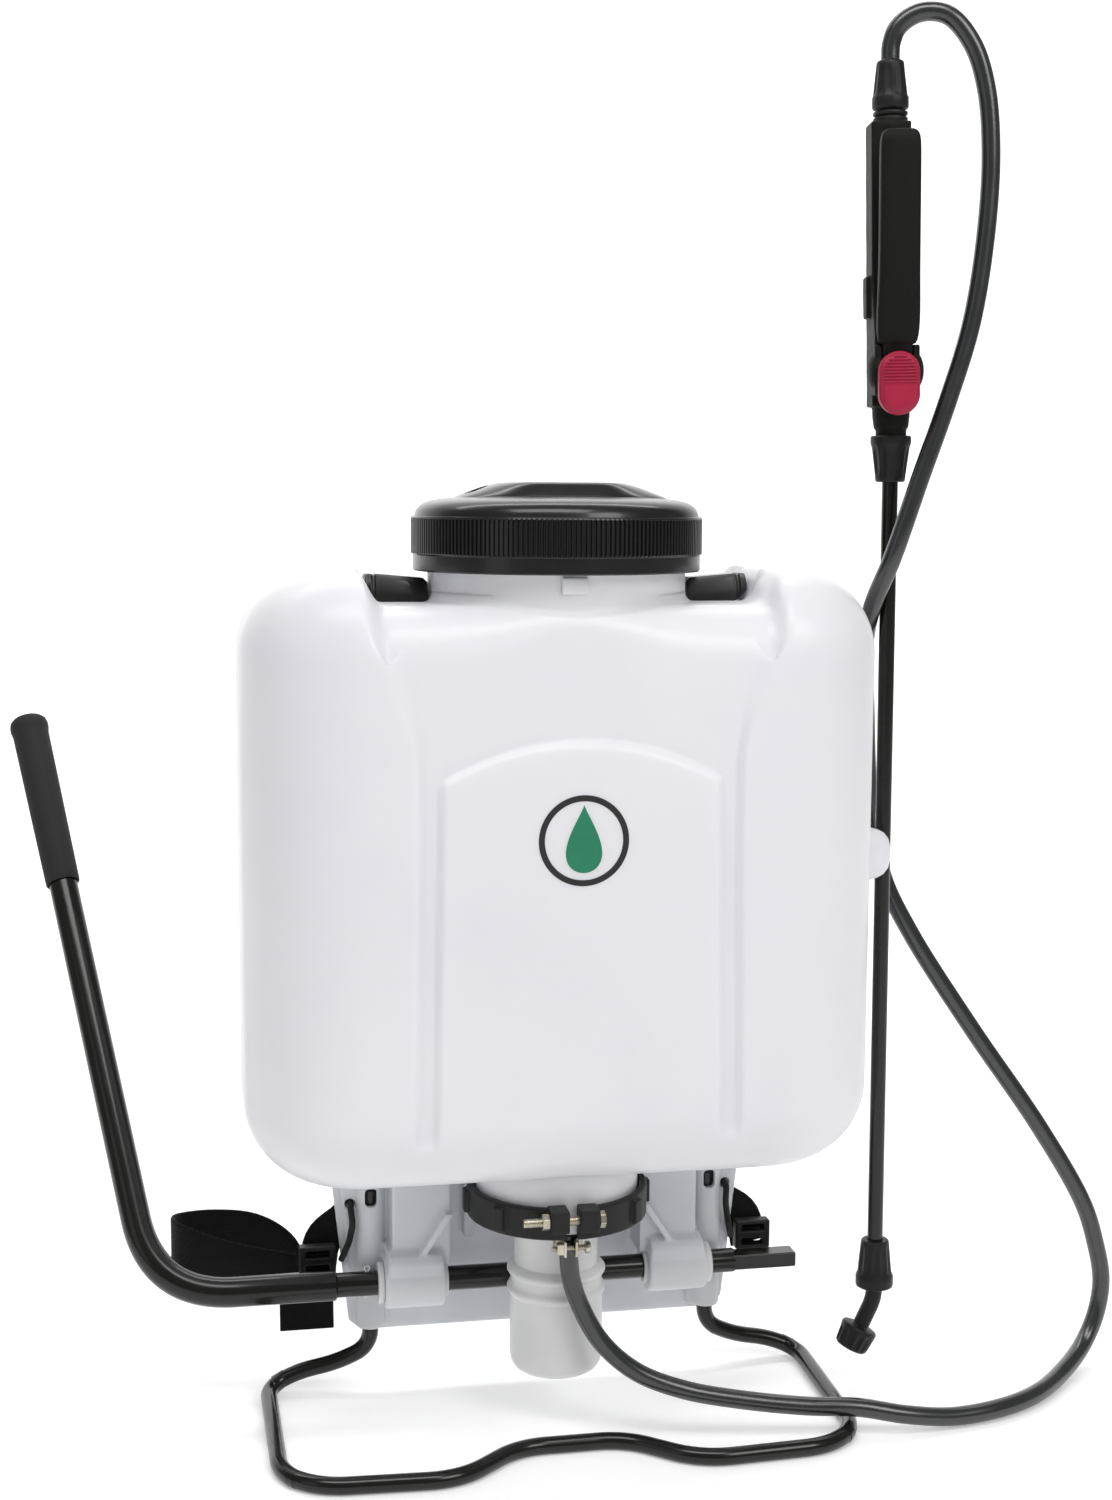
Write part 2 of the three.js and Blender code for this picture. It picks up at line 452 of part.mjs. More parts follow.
function wand() {
  const group = leaningGroup(WAND_LEAN);
  const lift = (geometry) => geometry.translate(0, 0, -HANDLE_FOOT);
  add("wand_tube", lift(rod(4.5, 77, 545, 0, 0, 0, 16)), paint, group);
  const nozzleNut = turned([[0, 58.5], [10.9, 58.5], [10.9, 64], [8.2, 87], [0, 87]], 0, 0, 14);
  add("nozzle_nut", lift(cut(nozzleNut, rod(4.8, 76.7, 100, 0, 0, 0, 16))), blackPlastic, group);
  const elbowEnd = [-7.8, 0, 34.9];
  const elbowPath = bentPath([[0, 0, 58.2], [0, 0, 51], elbowEnd], [6.5]);
  add("nozzle_elbow", lift(sweep(elbowPath, circle(4.8, 10), 10)), blackPlastic, group);
  const cap = turned([[1.4, -14.3], [8.4, -14.3], [9.8, -12.5], [10.8, -1.5], [9.8, 0], [1.4, 0],
    [1.4, -14.3]], 0, 0, 14);
  const reach = GAP + 0.5;
  const tip = [elbowEnd[0] - reach * Math.sin(NOZZLE_TILT), 0, elbowEnd[2] - reach * Math.cos(NOZZLE_TILT)];
  add("nozzle_cap", lift(cap.rotateY(NOZZLE_TILT).translate(...tip)), blackPlastic, group);
  const wandNut = turned([[0, 531], [8.5, 531], [11.2, 552], [11.2, 556.7], [0, 556.7]], 0, 0, 14);
  add("wand_nut", lift(cut(wandNut, rod(4.8, 520, 545.3, 0, 0, 0, 16))), blackPlastic, group);
}

// Control handle: body, trigger on a cross pin, its sliding lock, the valve that the trigger opens, and the
// hose's nut.
function controlHandle() {
  const outer = leaningGroup(HANDLE_LEAN);
  const group = new THREE.Group();
  group.rotation.z = HANDLE_TURN;
  outer.add(group);
  const [pivotY, pivotZ] = TRIGGER_PIVOT;
  const barrel = turned([[0, 0.3], [9.8, 0.3], [10.5, 11], [10.5, 171], [9, 174], [8.5, 178], [0, 178]], 0,
    0, 14);
  const spine = softBlock(-12, 10, -9, 11, 15, 172, 3);
  const fork = softBlock(-12.5, 12.5, -22, 6, 21, 49, 4);
  const clip = softBlock(-13, -9, -5, 7, 65, 88, 1.5);
  const dome = [[0, -16], [6, -15.4], [9.4, -13], [10, -11], [10, 11], [9.4, 13], [6, 15.4], [0, 16]];
  const domes = turned(dome, 0, 0, 16).rotateY(Math.PI / 2).translate(0, pivotY + 2, pivotZ);
  const triggerRoom = block(-8.8, 8.8, -40, -9.5, 3, 83);
  const pinHole = rodX(2.3, -13, 13, pivotY, pivotZ, 0, 12);
  const valveBore = rodY(2.6, -20, 0, 0, VALVE_HEIGHT, 0, 12);
  const body = cut(join(barrel, spine, fork, clip, domes), triggerRoom, pinHole, valveBore);
  add("handle_body", body, blackPlastic, group);
  add("trigger_pin", rodX(2, -12.6, 12.6, pivotY, pivotZ, 0, 12), steel, group);
  const paddle = plate([[-23, 48.5], [-26, 60], [-31, 83], [-35, 160], [-25, 162.5], [-21, 83], [-16, 48.5]],
    -11.2, 11.2);
  const stem = plate([[-26, 57], [-15, 57], [-11.5, 39], [-11.5, 31], [-20, 31], [-21.6, 46]], -8.4, 8.4);
  const sideways = new THREE.Matrix4().set(0, 0, 1, 0, 1, 0, 0, 0, 0, 1, 0, 0, 0, 0, 0, 1);
  const trigger = join(paddle.applyMatrix4(sideways), stem.applyMatrix4(sideways));
  const forkRoom = [-1, 1].map((side) => block(side > 0 ? 8.8 : -20, side > 0 ? 20 : -8.8, -23, -9, 20, 52));
  add("trigger", cut(trigger, rodX(2.3, -20, 20, pivotY, pivotZ, 0, 12), ...forkRoom), gripPlastic, group);
  const oval = (radius, y0, y1) => [
    rodY(radius, y0, y1, 0, LOCK_HEIGHT - 6, 0, 16),
    rodY(radius, y0, y1, 0, LOCK_HEIGHT + 6, 0, 16),
    block(-radius, radius, y0, y1, LOCK_HEIGHT - 6, LOCK_HEIGHT + 6),
  ];
  add("trigger_lock", join(...oval(11.4, -28, -23.4), ...oval(10.2, -30, -27)), redPlastic, group);
  add("valve_pin", rodY(2, -17.6, -3, 0, VALVE_HEIGHT), steel, group);
  const coil = new THREE.CatmullRomCurve3(Array.from({ length: 33 }, (_, step) => {
    const angle = (step * Math.PI) / 4;
    return new THREE.Vector3(4 * Math.cos(angle), -14.7 + step * 0.142, VALVE_HEIGHT + 4 * Math.sin(angle));
  }));
  add("trigger_spring", sweep(coil, circle(0.45, 4), 32), steel, group);
  const nut = turned([[0, 178.3], [9.9, 178.3], [9.9, 184], [7.6, 204.3], [0, 204.3]], 0, 0, 14);
  add("hose_nut", nut, blackPlastic, group);
}

// The hose: from the stub over the stand to the floor, up beside the tank, past the wand and into the
// handle's nut.
const HOSE_ROUTE = [
  [-0.6, -47, 119], [1.4, -47.5, 94], [7, -48.2, 77], [19, -49.7, 56], [38, -52, 39],
  [64, -55, 28], [98, -59, 21], [134, -63.5, 16.6], [162, -67, 15.2], [190, -70, 10], [218, -68, 5.8],
  [249, -62, 5.6], [276, -48.5, 5.6], [303, -25, 6.4], [327, -3, 14], [338, 4, 30], [341.5, 6, 50],
  [337.5, 8.2, 74], [329.5, 10, 98], [301.5, 14.5, 145.5], [259, 20.5, 206.5], [220, 26, 266.5],
  [204, 30, 300],
  [195, 30.5, 345], [190, 27, 400], [184, 14, 438], [182, -5, 463], [188, -17, 488], [203, -19, 534],
  [218, -18, 576], [231, -17, 619], [238.5, -16, 670], [240.2, -15, 713], [236.8, -13.7, 747],
  [228.5, -12.6, 770],
  [215, -9.8, 785], [200.5, -5.4, 786.5], [189.6, -1.6, 779.3], [186.3, -0.2, 770.5],
  [186, 0, 761.9],
];

function hose() {
  const path = new THREE.CatmullRomCurve3(HOSE_ROUTE.map(vector), false, "centripetal");
  add("hose", sweep(path, circle(HOSE_RADIUS, 8), 64), hosePlastic, cordPieces);
}

// A flat strap along a route, its width along X or standing along Z.
function strap(route, width, standing, steps) {
  const path = new THREE.CatmullRomCurve3(route.map(vector), false, "centripetal");
  const frames = path.computeFrenetFrames(steps);
  const corners = [[-1, -1], [1, -1], [1, 1], [-1, 1]];
  const rings = [];
  for (let i = 0; i <= steps; i++) {
    const centre = path.getPointAt(i / steps);
    const wide = standing ? new THREE.Vector3(0, 0, 1) : new THREE.Vector3(1, 0, 0);
    const thick = new THREE.Vector3().crossVectors(frames.tangents[i], wide).normalize();
    rings.push(corners.map(([w, t]) => centre.clone()
      .addScaledVector(wide, (w * width) / 2).addScaledVector(thick, t * WEBBING_THICKNESS / 2)));
  }
  const triangles = [];
  const quad = (a, b, c, d) => triangles.push(a, b, c, a, c, d);
  for (let i = 0; i < steps; i++) {
    for (let j = 0; j < 4; j++) {
      quad(rings[i][j], rings[i][(j + 1) % 4], rings[i + 1][(j + 1) % 4], rings[i + 1][j]);
    }
  }
  quad(rings[0][3], rings[0][2], rings[0][1], rings[0][0]);
  quad(...rings[steps]);
  return new THREE.BufferGeometry().setFromPoints(triangles);
}

function straps() {
  for (const [side, name] of [[-1, "left"], [1, "right"]]) {
    const mirrored = (route) => route.map(([x, y, z]) => [side * x, y, z]);
    const span = (near, far) => (side > 0 ? [near, far] : [-far, -near]);
    const anchor = [[75, 465.5], [104, 468.5], [106.3, 477.5], [104, 480.3], [75, 477.5]]
      .map(([x, z]) => [side * x, z]);
    add("strap_anchor_" + name, uprightPlate(side > 0 ? anchor : anchor.reverse(), -10, 8), blackPlastic);
    const over = [[STRAP_X, 8.4, 470.5], [STRAP_X, 36, 470], [STRAP_X, 58, 469.4], [STRAP_X, 71, 468],
      [STRAP_X, 79, 463], [STRAP_X, 86, 452], [STRAP_X, 92, 434], [STRAP_X, 93, 412],
      [STRAP_X, 93, PAD_TOP + GAP]];
    add("shoulder_strap_" + name, strap(mirrored(over), WEBBING_WIDTH, false, 12), webbing);
    const pad = softBlock(...span(STRAP_X - 29, STRAP_X + 29), PAD_FRONT, PAD_BACK, PAD_FOOT, PAD_TOP, 4);
    add("shoulder_pad_" + name, pad, padFabric);
    const under = [[STRAP_X, 93, PAD_FOOT - GAP], [STRAP_X + 1, 88, 160], [STRAP_X + 4, 78, 135],
      [STRAP_X + 11, 68, 115], [STRAP_X + 24, 58, 99], [STRAP_X + 39, 53, 88], [STRAP_X + 43, 51.2, 71]];
    add("lower_strap_" + name, strap(mirrored(under), 22, false, 10), webbing);
    const buckle = softBlock(...span(120.5, 142), 41, 49, 70, 87.5, 2);
    const eyes = [74.5, 83].map((z) => block(...span(124.5, 138), 30, 60, z - 1.9, z + 1.9));
    add("strap_buckle_" + name, cut(buckle, ...eyes), blackPlastic);
    const hookRoute = [[HOOK_X, 52, HOOK_Z], [HOOK_X, 35, HOOK_Z], [HOOK_X - 1, 33, 103],
      [HOOK_X + 1, 35, 92], [HOOK_X + 5, 42, 79]];
    const hook = sweep(bentPath(mirrored(hookRoute), [3, 3, 3]), circle(1.9, 8), 16);
    const stopper = rodY(4.6, 51, 53.5, side * HOOK_X, HOOK_Z);
    add("strap_hook_" + name, join(hook, stopper), blackPlastic);
  }
  const loop = [[-133, 60, 61], [-150, 60, 65], [-172, 61, 70], [-193, 64, 76], [-210, 71, 82],
    [-214, 82, 83], [-208, 94, 81], [-190, 99, 80], [-168, 98, 77], [-152, 94, 68], [-143, 88, 55]];
  add("strap_loop_left", strap(loop, 27, true, 18), webbing);
  const tail = [[-136, 70, 70], [-136, 71, 50], [-136, 69, 27]];
  add("strap_tail_left", strap(tail, 32, false, 4), webbing);
}

tank();
filler();
basePlate();
stand();
pump();
clampRing();
hoseEnd();
crankAndPiston();
shaftAndLever();
wand();
controlHandle();
hose();
straps();

// The origin lies on the floor under the middle of the object, its hose apart.
const middle = new THREE.Box3().setFromObject(pieces, true).getCenter(new THREE.Vector3());
const placed = new THREE.Group();
placed.position.set(-middle.x, -middle.y, 0);
placed.add(pieces, cordPieces);
const sprayer = new THREE.Group();
sprayer.add(placed);
export default sprayer;
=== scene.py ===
"""A lever-operated backpack sprayer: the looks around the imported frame.

Lengths are in millimetres from the tank's upright axis, with the floor at z 0, and at() turns them into the
frame's metres.
"""

import json
import math

import bmesh
import bpy
import numpy as np
from mathutils import Matrix, Vector


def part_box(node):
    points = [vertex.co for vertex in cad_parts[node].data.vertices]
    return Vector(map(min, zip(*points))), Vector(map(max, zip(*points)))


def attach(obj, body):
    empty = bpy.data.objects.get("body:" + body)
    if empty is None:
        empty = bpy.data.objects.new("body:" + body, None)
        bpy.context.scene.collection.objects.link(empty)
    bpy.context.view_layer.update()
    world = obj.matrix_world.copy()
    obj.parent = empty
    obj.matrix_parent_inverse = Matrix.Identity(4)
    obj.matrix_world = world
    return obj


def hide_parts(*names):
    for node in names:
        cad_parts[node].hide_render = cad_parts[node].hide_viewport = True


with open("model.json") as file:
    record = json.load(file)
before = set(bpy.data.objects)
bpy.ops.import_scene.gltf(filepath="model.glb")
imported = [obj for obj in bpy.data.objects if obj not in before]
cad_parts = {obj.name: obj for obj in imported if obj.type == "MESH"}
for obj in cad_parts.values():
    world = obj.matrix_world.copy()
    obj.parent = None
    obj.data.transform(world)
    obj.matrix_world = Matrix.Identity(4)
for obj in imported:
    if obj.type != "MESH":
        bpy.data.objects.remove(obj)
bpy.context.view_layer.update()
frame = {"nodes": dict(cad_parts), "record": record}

# ---------------------------------------------------------------- places taken from the frame

cap_low, cap_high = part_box("cap_gasket")
AXIS_X = (cap_low.x + cap_high.x) / 2
AXIS_Y = (cap_low.y + cap_high.y) / 2


def at(x, y, z):
    return Vector((AXIS_X + x / 1000, AXIS_Y + y / 1000, z / 1000))


TANK_HALF_WIDTH = 175
TANK_HALF_DEPTH = 82
TANK_BOTTOM = 150
TANK_TOP = 483
TANK_CORNER = 64
TANK_EDGE = 46
NECK_RADIUS = 71
NECK_FILLET = 5
KNOB_LENGTH = 31
KNOB_Z = 321
SHAFT_Y = 22.9
SHAFT_Z = 71
SHAFT = (0, SHAFT_Y, SHAFT_Z)
ALONG_X = (1, 0, 0)
ALONG_Y = (0, 1, 0)
PUMP_Y = -11
COTTER_X = -104.5
HOSE_RADIUS = 5.25
HOSE_EXIT = (-0.6, -47)
CHANNEL_X = 101  # the stand's ends in the base plate's sleeves
CHANNEL_Y = 40
BOLT_Y = -65.5
BOLT_Z = 133.2
STRAP_X = 88
HOOK_X = 112.5
HOOK_Z = 113
WAND_X = 191.7  # where the wand meets the handle
HANDLE_FOOT = 557
WAND_LEAN = math.radians(-0.29)
HANDLE_LEAN = math.radians(-1.6)
HANDLE_TURN = math.radians(-9.5)
NOZZLE_TILT = math.radians(25.8)


def wand_place(p):
    """From the wand's own axis, heights counted from the handle's foot at HANDLE_FOOT, to the tank's axes."""
    foot = Vector((0, 0, HANDLE_FOOT))
    return Matrix.Rotation(WAND_LEAN, 3, "Y") @ (Vector(p) - foot) + Vector((WAND_X, 0, HANDLE_FOOT))


def handle_place(p):
    """From the handle's own axes, whose origin is its foot, to the tank's axes."""
    turned = Matrix.Rotation(HANDLE_LEAN, 3, "Y") @ Matrix.Rotation(HANDLE_TURN, 3, "Z") @ Vector(p)
    return turned + Vector((WAND_X, 0, HANDLE_FOOT))


# ---------------------------------------------------------------- camera and cord


def make_camera():
    data = bpy.data.cameras.new("camera")
    data.sensor_width = 36
    data.lens = 50.09
    data.clip_end = 20
    camera = bpy.data.objects.new("camera", data)
    camera.location = at(-215.6, -1133.6, 523)
    pitch, yaw, roll = math.radians(6.98), math.radians(10.79), math.radians(0.31)
    turn = (Matrix.Rotation(-yaw, 4, "Z") @ Matrix.Rotation(math.pi / 2 - pitch, 4, "X")
            @ Matrix.Rotation(roll, 4, "Z"))
    camera.rotation_euler = turn.to_euler()
    bpy.context.scene.collection.objects.link(camera)
    bpy.context.scene.camera = camera


HOSE_ROUTE = [
    (-0.6, -47, 119), (1.4, -47.5, 94), (7, -48.2, 77), (19, -49.7, 56), (38, -52, 39), (64, -55, 28),
    (98, -59, 21), (134, -63.5, 16.6), (162, -67, 15.2), (190, -70, 10), (218, -68, 5.8),
    (249, -62, 5.6), (276, -48.5, 5.6), (303, -25, 6.4), (327, -3, 14), (338, 4, 30), (341.5, 6, 50),
    (337.5, 8.2, 74), (329.5, 10, 98), (301.5, 14.5, 145.5), (259, 20.5, 206.5), (220, 26, 266.5),
    (204, 30, 300), (195, 30.5, 345), (190, 27, 400), (184, 14, 438), (182, -5, 463), (188, -17, 488),
    (203, -19, 534), (218, -18, 576), (231, -17, 619), (238.5, -16, 670), (240.2, -15, 713),
    (236.8, -13.7, 747), (228.5, -12.6, 770), (215, -9.8, 785), (200.5, -5.4, 786.5),
    (189.6, -1.6, 779.3), (186.3, -0.2, 770.5), (186, 0, 761.9),
]


def smooth_route(points, per_span=10):
    """A centripetal Catmull-Rom curve through the points."""
    p = [Vector(q) for q in points]
    p = [2 * p[0] - p[1], *p, 2 * p[-1] - p[-2]]
    out = []
    for a, b, c, d in zip(p, p[1:], p[2:], p[3:]):
        t = [0.0]
        for u, v in ((a, b), (b, c), (c, d)):
            t.append(t[-1] + max((v - u).length, 1e-6) ** 0.5)
        for i in range(per_span):
            s = t[1] + (t[2] - t[1]) * i / per_span
            a1 = a.lerp(b, (s - t[0]) / (t[1] - t[0]))
            a2 = b.lerp(c, (s - t[1]) / (t[2] - t[1]))
            a3 = c.lerp(d, (s - t[2]) / (t[3] - t[2]))
            b1 = a1.lerp(a2, (s - t[0]) / (t[2] - t[0]))
            b2 = a2.lerp(a3, (s - t[1]) / (t[3] - t[1]))
            out.append(b1.lerp(b2, (s - t[1]) / (t[2] - t[1])))
    return [*out, p[-2]]


def make_hose(material):
    route = [at(*p) for p in smooth_route(HOSE_ROUTE)]
    data = bpy.data.curves.new("hose_piece", "CURVE")
    data.dimensions = "3D"
    data.bevel_depth = HOSE_RADIUS / 1000
    data.bevel_resolution = 6
    data.use_fill_caps = True
    spline = data.splines.new("POLY")
    spline.points.add(len(route) - 1)
    for point, place in zip(spline.points, route):
        point.co = (*place, 1)
    spline.use_smooth = True
    hose = bpy.data.objects.new("hose_piece", data)
    bpy.context.scene.collection.objects.link(hose)
    data.materials.append(material)
    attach(hose, "sprayer")
    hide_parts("hose")
    length = sum((b - a).length for a, b in zip(route, route[1:]))
    return length


# ---------------------------------------------------------------- materials


def tree_of(name):
    material = bpy.data.materials.new(name)
    material.use_nodes = True
    return material, material.node_tree, material.node_tree.nodes["Principled BSDF"]


def put(node, **values):
    """Sets a node's inputs: an underscore stands for the space in an input's name."""
    for name, value in values.items():
        node.inputs[name.replace("_", " ")].default_value = value


def add(tree, kind, source=None, **values):
    """A new node with its inputs set, placed by a coordinate node when that is given as its source."""
    node = tree.nodes.new("ShaderNode" + kind)
    put(node, **values)
    if source:
        tree.links.new(source.outputs["Object"], node.inputs["Vector"])
    return node


def raise_from(tree, shader, height, strength):
    """A bump over a shader, from an output that gives the height."""
    relief = add(tree, "Bump", Strength=strength, Distance=0.0004)
    tree.links.new(height, relief.inputs["Height"])
    tree.links.new(relief.outputs["Normal"], shader.inputs["Normal"])


def surface(name, color, roughness, metallic=0.0, second=None, spot_scale=40.0, bump=0.0, bump_scale=900.0,
            rough_spread=0.08, coat=0.0, subsurface=0.0, specular=0.5, sheen=0.0):
    """A procedural finish: the colour and roughness drift a little over the surface, over a fine bump."""
    material, tree, shader = tree_of(name)
    place = add(tree, "TexCoord")
    drift = add(tree, "TexNoise", place, Scale=spot_scale, Detail=5)
    ramp = add(tree, "ValToRGB")
    first, last = ramp.color_ramp.elements
    first.position, last.position = 0.3, 0.7
    first.color = (*color, 1)
    last.color = (*(second or [c * 1.12 for c in color]), 1)
    tree.links.new(drift.outputs["Fac"], ramp.inputs["Fac"])
    tree.links.new(ramp.outputs["Color"], shader.inputs["Base Color"])
    spread = add(tree, "MapRange", To_Min=roughness - rough_spread, To_Max=roughness + rough_spread)
    tree.links.new(drift.outputs["Fac"], spread.inputs["Value"])
    tree.links.new(spread.outputs["Result"], shader.inputs["Roughness"])
    put(shader, Metallic=metallic, Coat_Weight=coat, Coat_Roughness=0.08, Specular_IOR_Level=specular)
    if subsurface:
        put(shader, Subsurface_Weight=subsurface, Subsurface_Radius=(1.0, 0.95, 1.0), Subsurface_Scale=0.012)
    if sheen:
        put(shader, Sheen_Weight=sheen, Sheen_Roughness=0.4)
    if bump:
        grain = add(tree, "TexNoise", place, Scale=bump_scale, Detail=3)
        raise_from(tree, shader, grain.outputs["Fac"], bump)
    return material


def woven(name, color, highlight, pitch=3000.0):
    """Nylon webbing: fine ribs over the width crossed by the yarn's own twill."""
    material, tree, shader = tree_of(name)
    place = add(tree, "TexCoord")
    weave = add(tree, "Math")
    weave.operation = "MULTIPLY"
    for i, (direction, scale) in enumerate((("Z", pitch), ("DIAGONAL", pitch * 1.3))):
        wave = add(tree, "TexWave", place, Scale=scale / 12, Distortion=0.6, Detail=2)
        wave.bands_direction = direction
        tree.links.new(wave.outputs["Fac"], weave.inputs[i])
    ramp = add(tree, "ValToRGB")
    ramp.color_ramp.elements[0].color = (*color, 1)
    ramp.color_ramp.elements[1].color = (*highlight, 1)
    tree.links.new(weave.outputs["Value"], ramp.inputs["Fac"])
    tree.links.new(ramp.outputs["Color"], shader.inputs["Base Color"])
    raise_from(tree, shader, weave.outputs["Value"], 0.35)
    put(shader, Roughness=0.85, Specular_IOR_Level=0.15, Sheen_Weight=0.05, Sheen_Roughness=0.5)
    return material


TANK_WHITE = surface("tank_plastic", (0.79, 0.79, 0.82), 0.31, second=(0.83, 0.83, 0.855), spot_scale=9,
                     bump=0.10, bump_scale=260, subsurface=0.35, rough_spread=0.05, specular=0.3)
BASE_WHITE = surface("base_plastic", (0.66, 0.675, 0.70), 0.42, second=(0.72, 0.735, 0.76), spot_scale=25,
                     bump=0.10, bump_scale=400, subsurface=0.3, rough_spread=0.05)
PUMP_WHITE = surface("pump_plastic", (0.74, 0.745, 0.745), 0.36, second=(0.79, 0.79, 0.79), spot_scale=25,
                     bump=0.08, bump_scale=400, subsurface=0.3, rough_spread=0.05)
CAP_GLOSS = surface("cap_gloss", (0.006, 0.006, 0.006), 0.3, spot_scale=60, bump=0.03, bump_scale=300,
                    coat=0.24, rough_spread=0.04, specular=0.4)
MOULDED_BLACK = surface("moulded_black", (0.008, 0.009, 0.008), 0.46, spot_scale=90, bump=0.25,
                        bump_scale=1400, specular=0.3)
TRIGGER_BLACK = surface("trigger_black", (0.007, 0.0075, 0.006), 0.55, spot_scale=90, bump=0.5,
                        bump_scale=1800, specular=0.14)
PAINT = surface("black_paint", (0.005, 0.005, 0.004), 0.22, spot_scale=70, bump=0.10, bump_scale=500,
                coat=0.2, rough_spread=0.05, specular=0.35)
GRIP = surface("grip_rubber", (0.020, 0.021, 0.020), 0.68, spot_scale=110, bump=0.5, bump_scale=1600,
               specular=0.25)
HOSE = surface("hose_rubber", (0.013, 0.014, 0.015), 0.25, spot_scale=60, bump=0.10, bump_scale=700,
               specular=0.9)
RED = surface("red_plastic", (0.36, 0.012, 0.045), 0.45, spot_scale=80, bump=0.15, bump_scale=1200,
              specular=0.3)
ZINC = surface("zinc", (0.42, 0.38, 0.29), 0.28, metallic=1.0, second=(0.60, 0.57, 0.48), spot_scale=180,
               bump=0.2)
STEEL = surface("steel", (0.62, 0.62, 0.63), 0.30, metallic=1.0, spot_scale=150, bump=0.15)
SEAL = surface("seal_rubber", (0.015, 0.015, 0.015), 0.7, spot_scale=100, bump=0.2)
CLEAR = surface("clear_plastic", (0.74, 0.77, 0.80), 0.3, spot_scale=60, bump=0.05, subsurface=0.2)
WEBBING = woven("webbing", (0.004, 0.0045, 0.004), (0.016, 0.017, 0.016))
PAD = surface("pad_fabric", (0.010, 0.010, 0.010), 0.85, spot_scale=200, bump=0.8, bump_scale=2600, sheen=0.1,
              specular=0.2)
GREEN = surface("emblem_green", (0.01, 0.19, 0.10), 0.45, spot_scale=60, bump=0.05)
EMBLEM_BLACK = surface("emblem_black", (0.012, 0.012, 0.012), 0.45, spot_scale=60, bump=0.05)

CAD_FINISH = {
    "base_plastic": BASE_WHITE, "tank_plastic": TANK_WHITE, "clear_plastic": CLEAR, "cap_plastic": CAP_GLOSS,
    "black_plastic": MOULDED_BLACK, "black_paint": PAINT, "grip_plastic": GRIP, "hose_plastic": HOSE,
    "red_plastic": RED, "seal_rubber": SEAL, "webbing": WEBBING, "pad_fabric": PAD, "zinc": ZINC,
    "steel": STEEL,
}


def finish_cad_nodes():
    """Every CAD node gets its slot's procedural finish, whether it shows or is replaced later."""
    for part in frame["record"]["subparts"]:
        node = frame["nodes"][part["node"]]
        node.data.materials.clear()
        node.data.materials.append(CAD_FINISH[part["material_slot"]])


# ---------------------------------------------------------------- mesh building


def mesh_of(name, shape, merged=True):
    """A shape's mesh, its faces turned outwards and its doubled points merged (not for a cutting tool)."""
    mesh = bpy.data.meshes.new(name)
    mesh.from_pydata([at(*p) for p in shape.points], [], shape.faces)
    mesh.validate()
    form = bmesh.new()
    form.from_mesh(mesh)
    if merged:
        bmesh.ops.remove_doubles(form, verts=form.verts, dist=1e-6)
    bmesh.ops.recalc_face_normals(form, faces=form.faces)
    form.to_mesh(mesh)
    form.free()
    return mesh


def sharpen(mesh, degrees):
    """Keeps the edges sharp that turn by more than the angle."""
    mesh.set_sharp_from_angle(angle=math.radians(degrees))


def shade(mesh, sharp):
    mesh.polygons.foreach_set("use_smooth", [True] * len(mesh.polygons))
    sharpen(mesh, sharp)


def piece(name, shape, material, body="sprayer", replaced=(), sharp=35):
    """A new piece on a body, in its material's own slot."""
    obj = bpy.data.objects.new(name, mesh_of(name, shape))
    obj.data.materials.append(material)
    bpy.context.scene.collection.objects.link(obj)
    shade(obj.data, sharp)
    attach(obj, body)
    if replaced:
        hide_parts(*replaced)
    return obj


def turns(count):
    """Evenly spaced angles round a full turn."""
    return [2 * math.pi * k / count for k in range(count)]


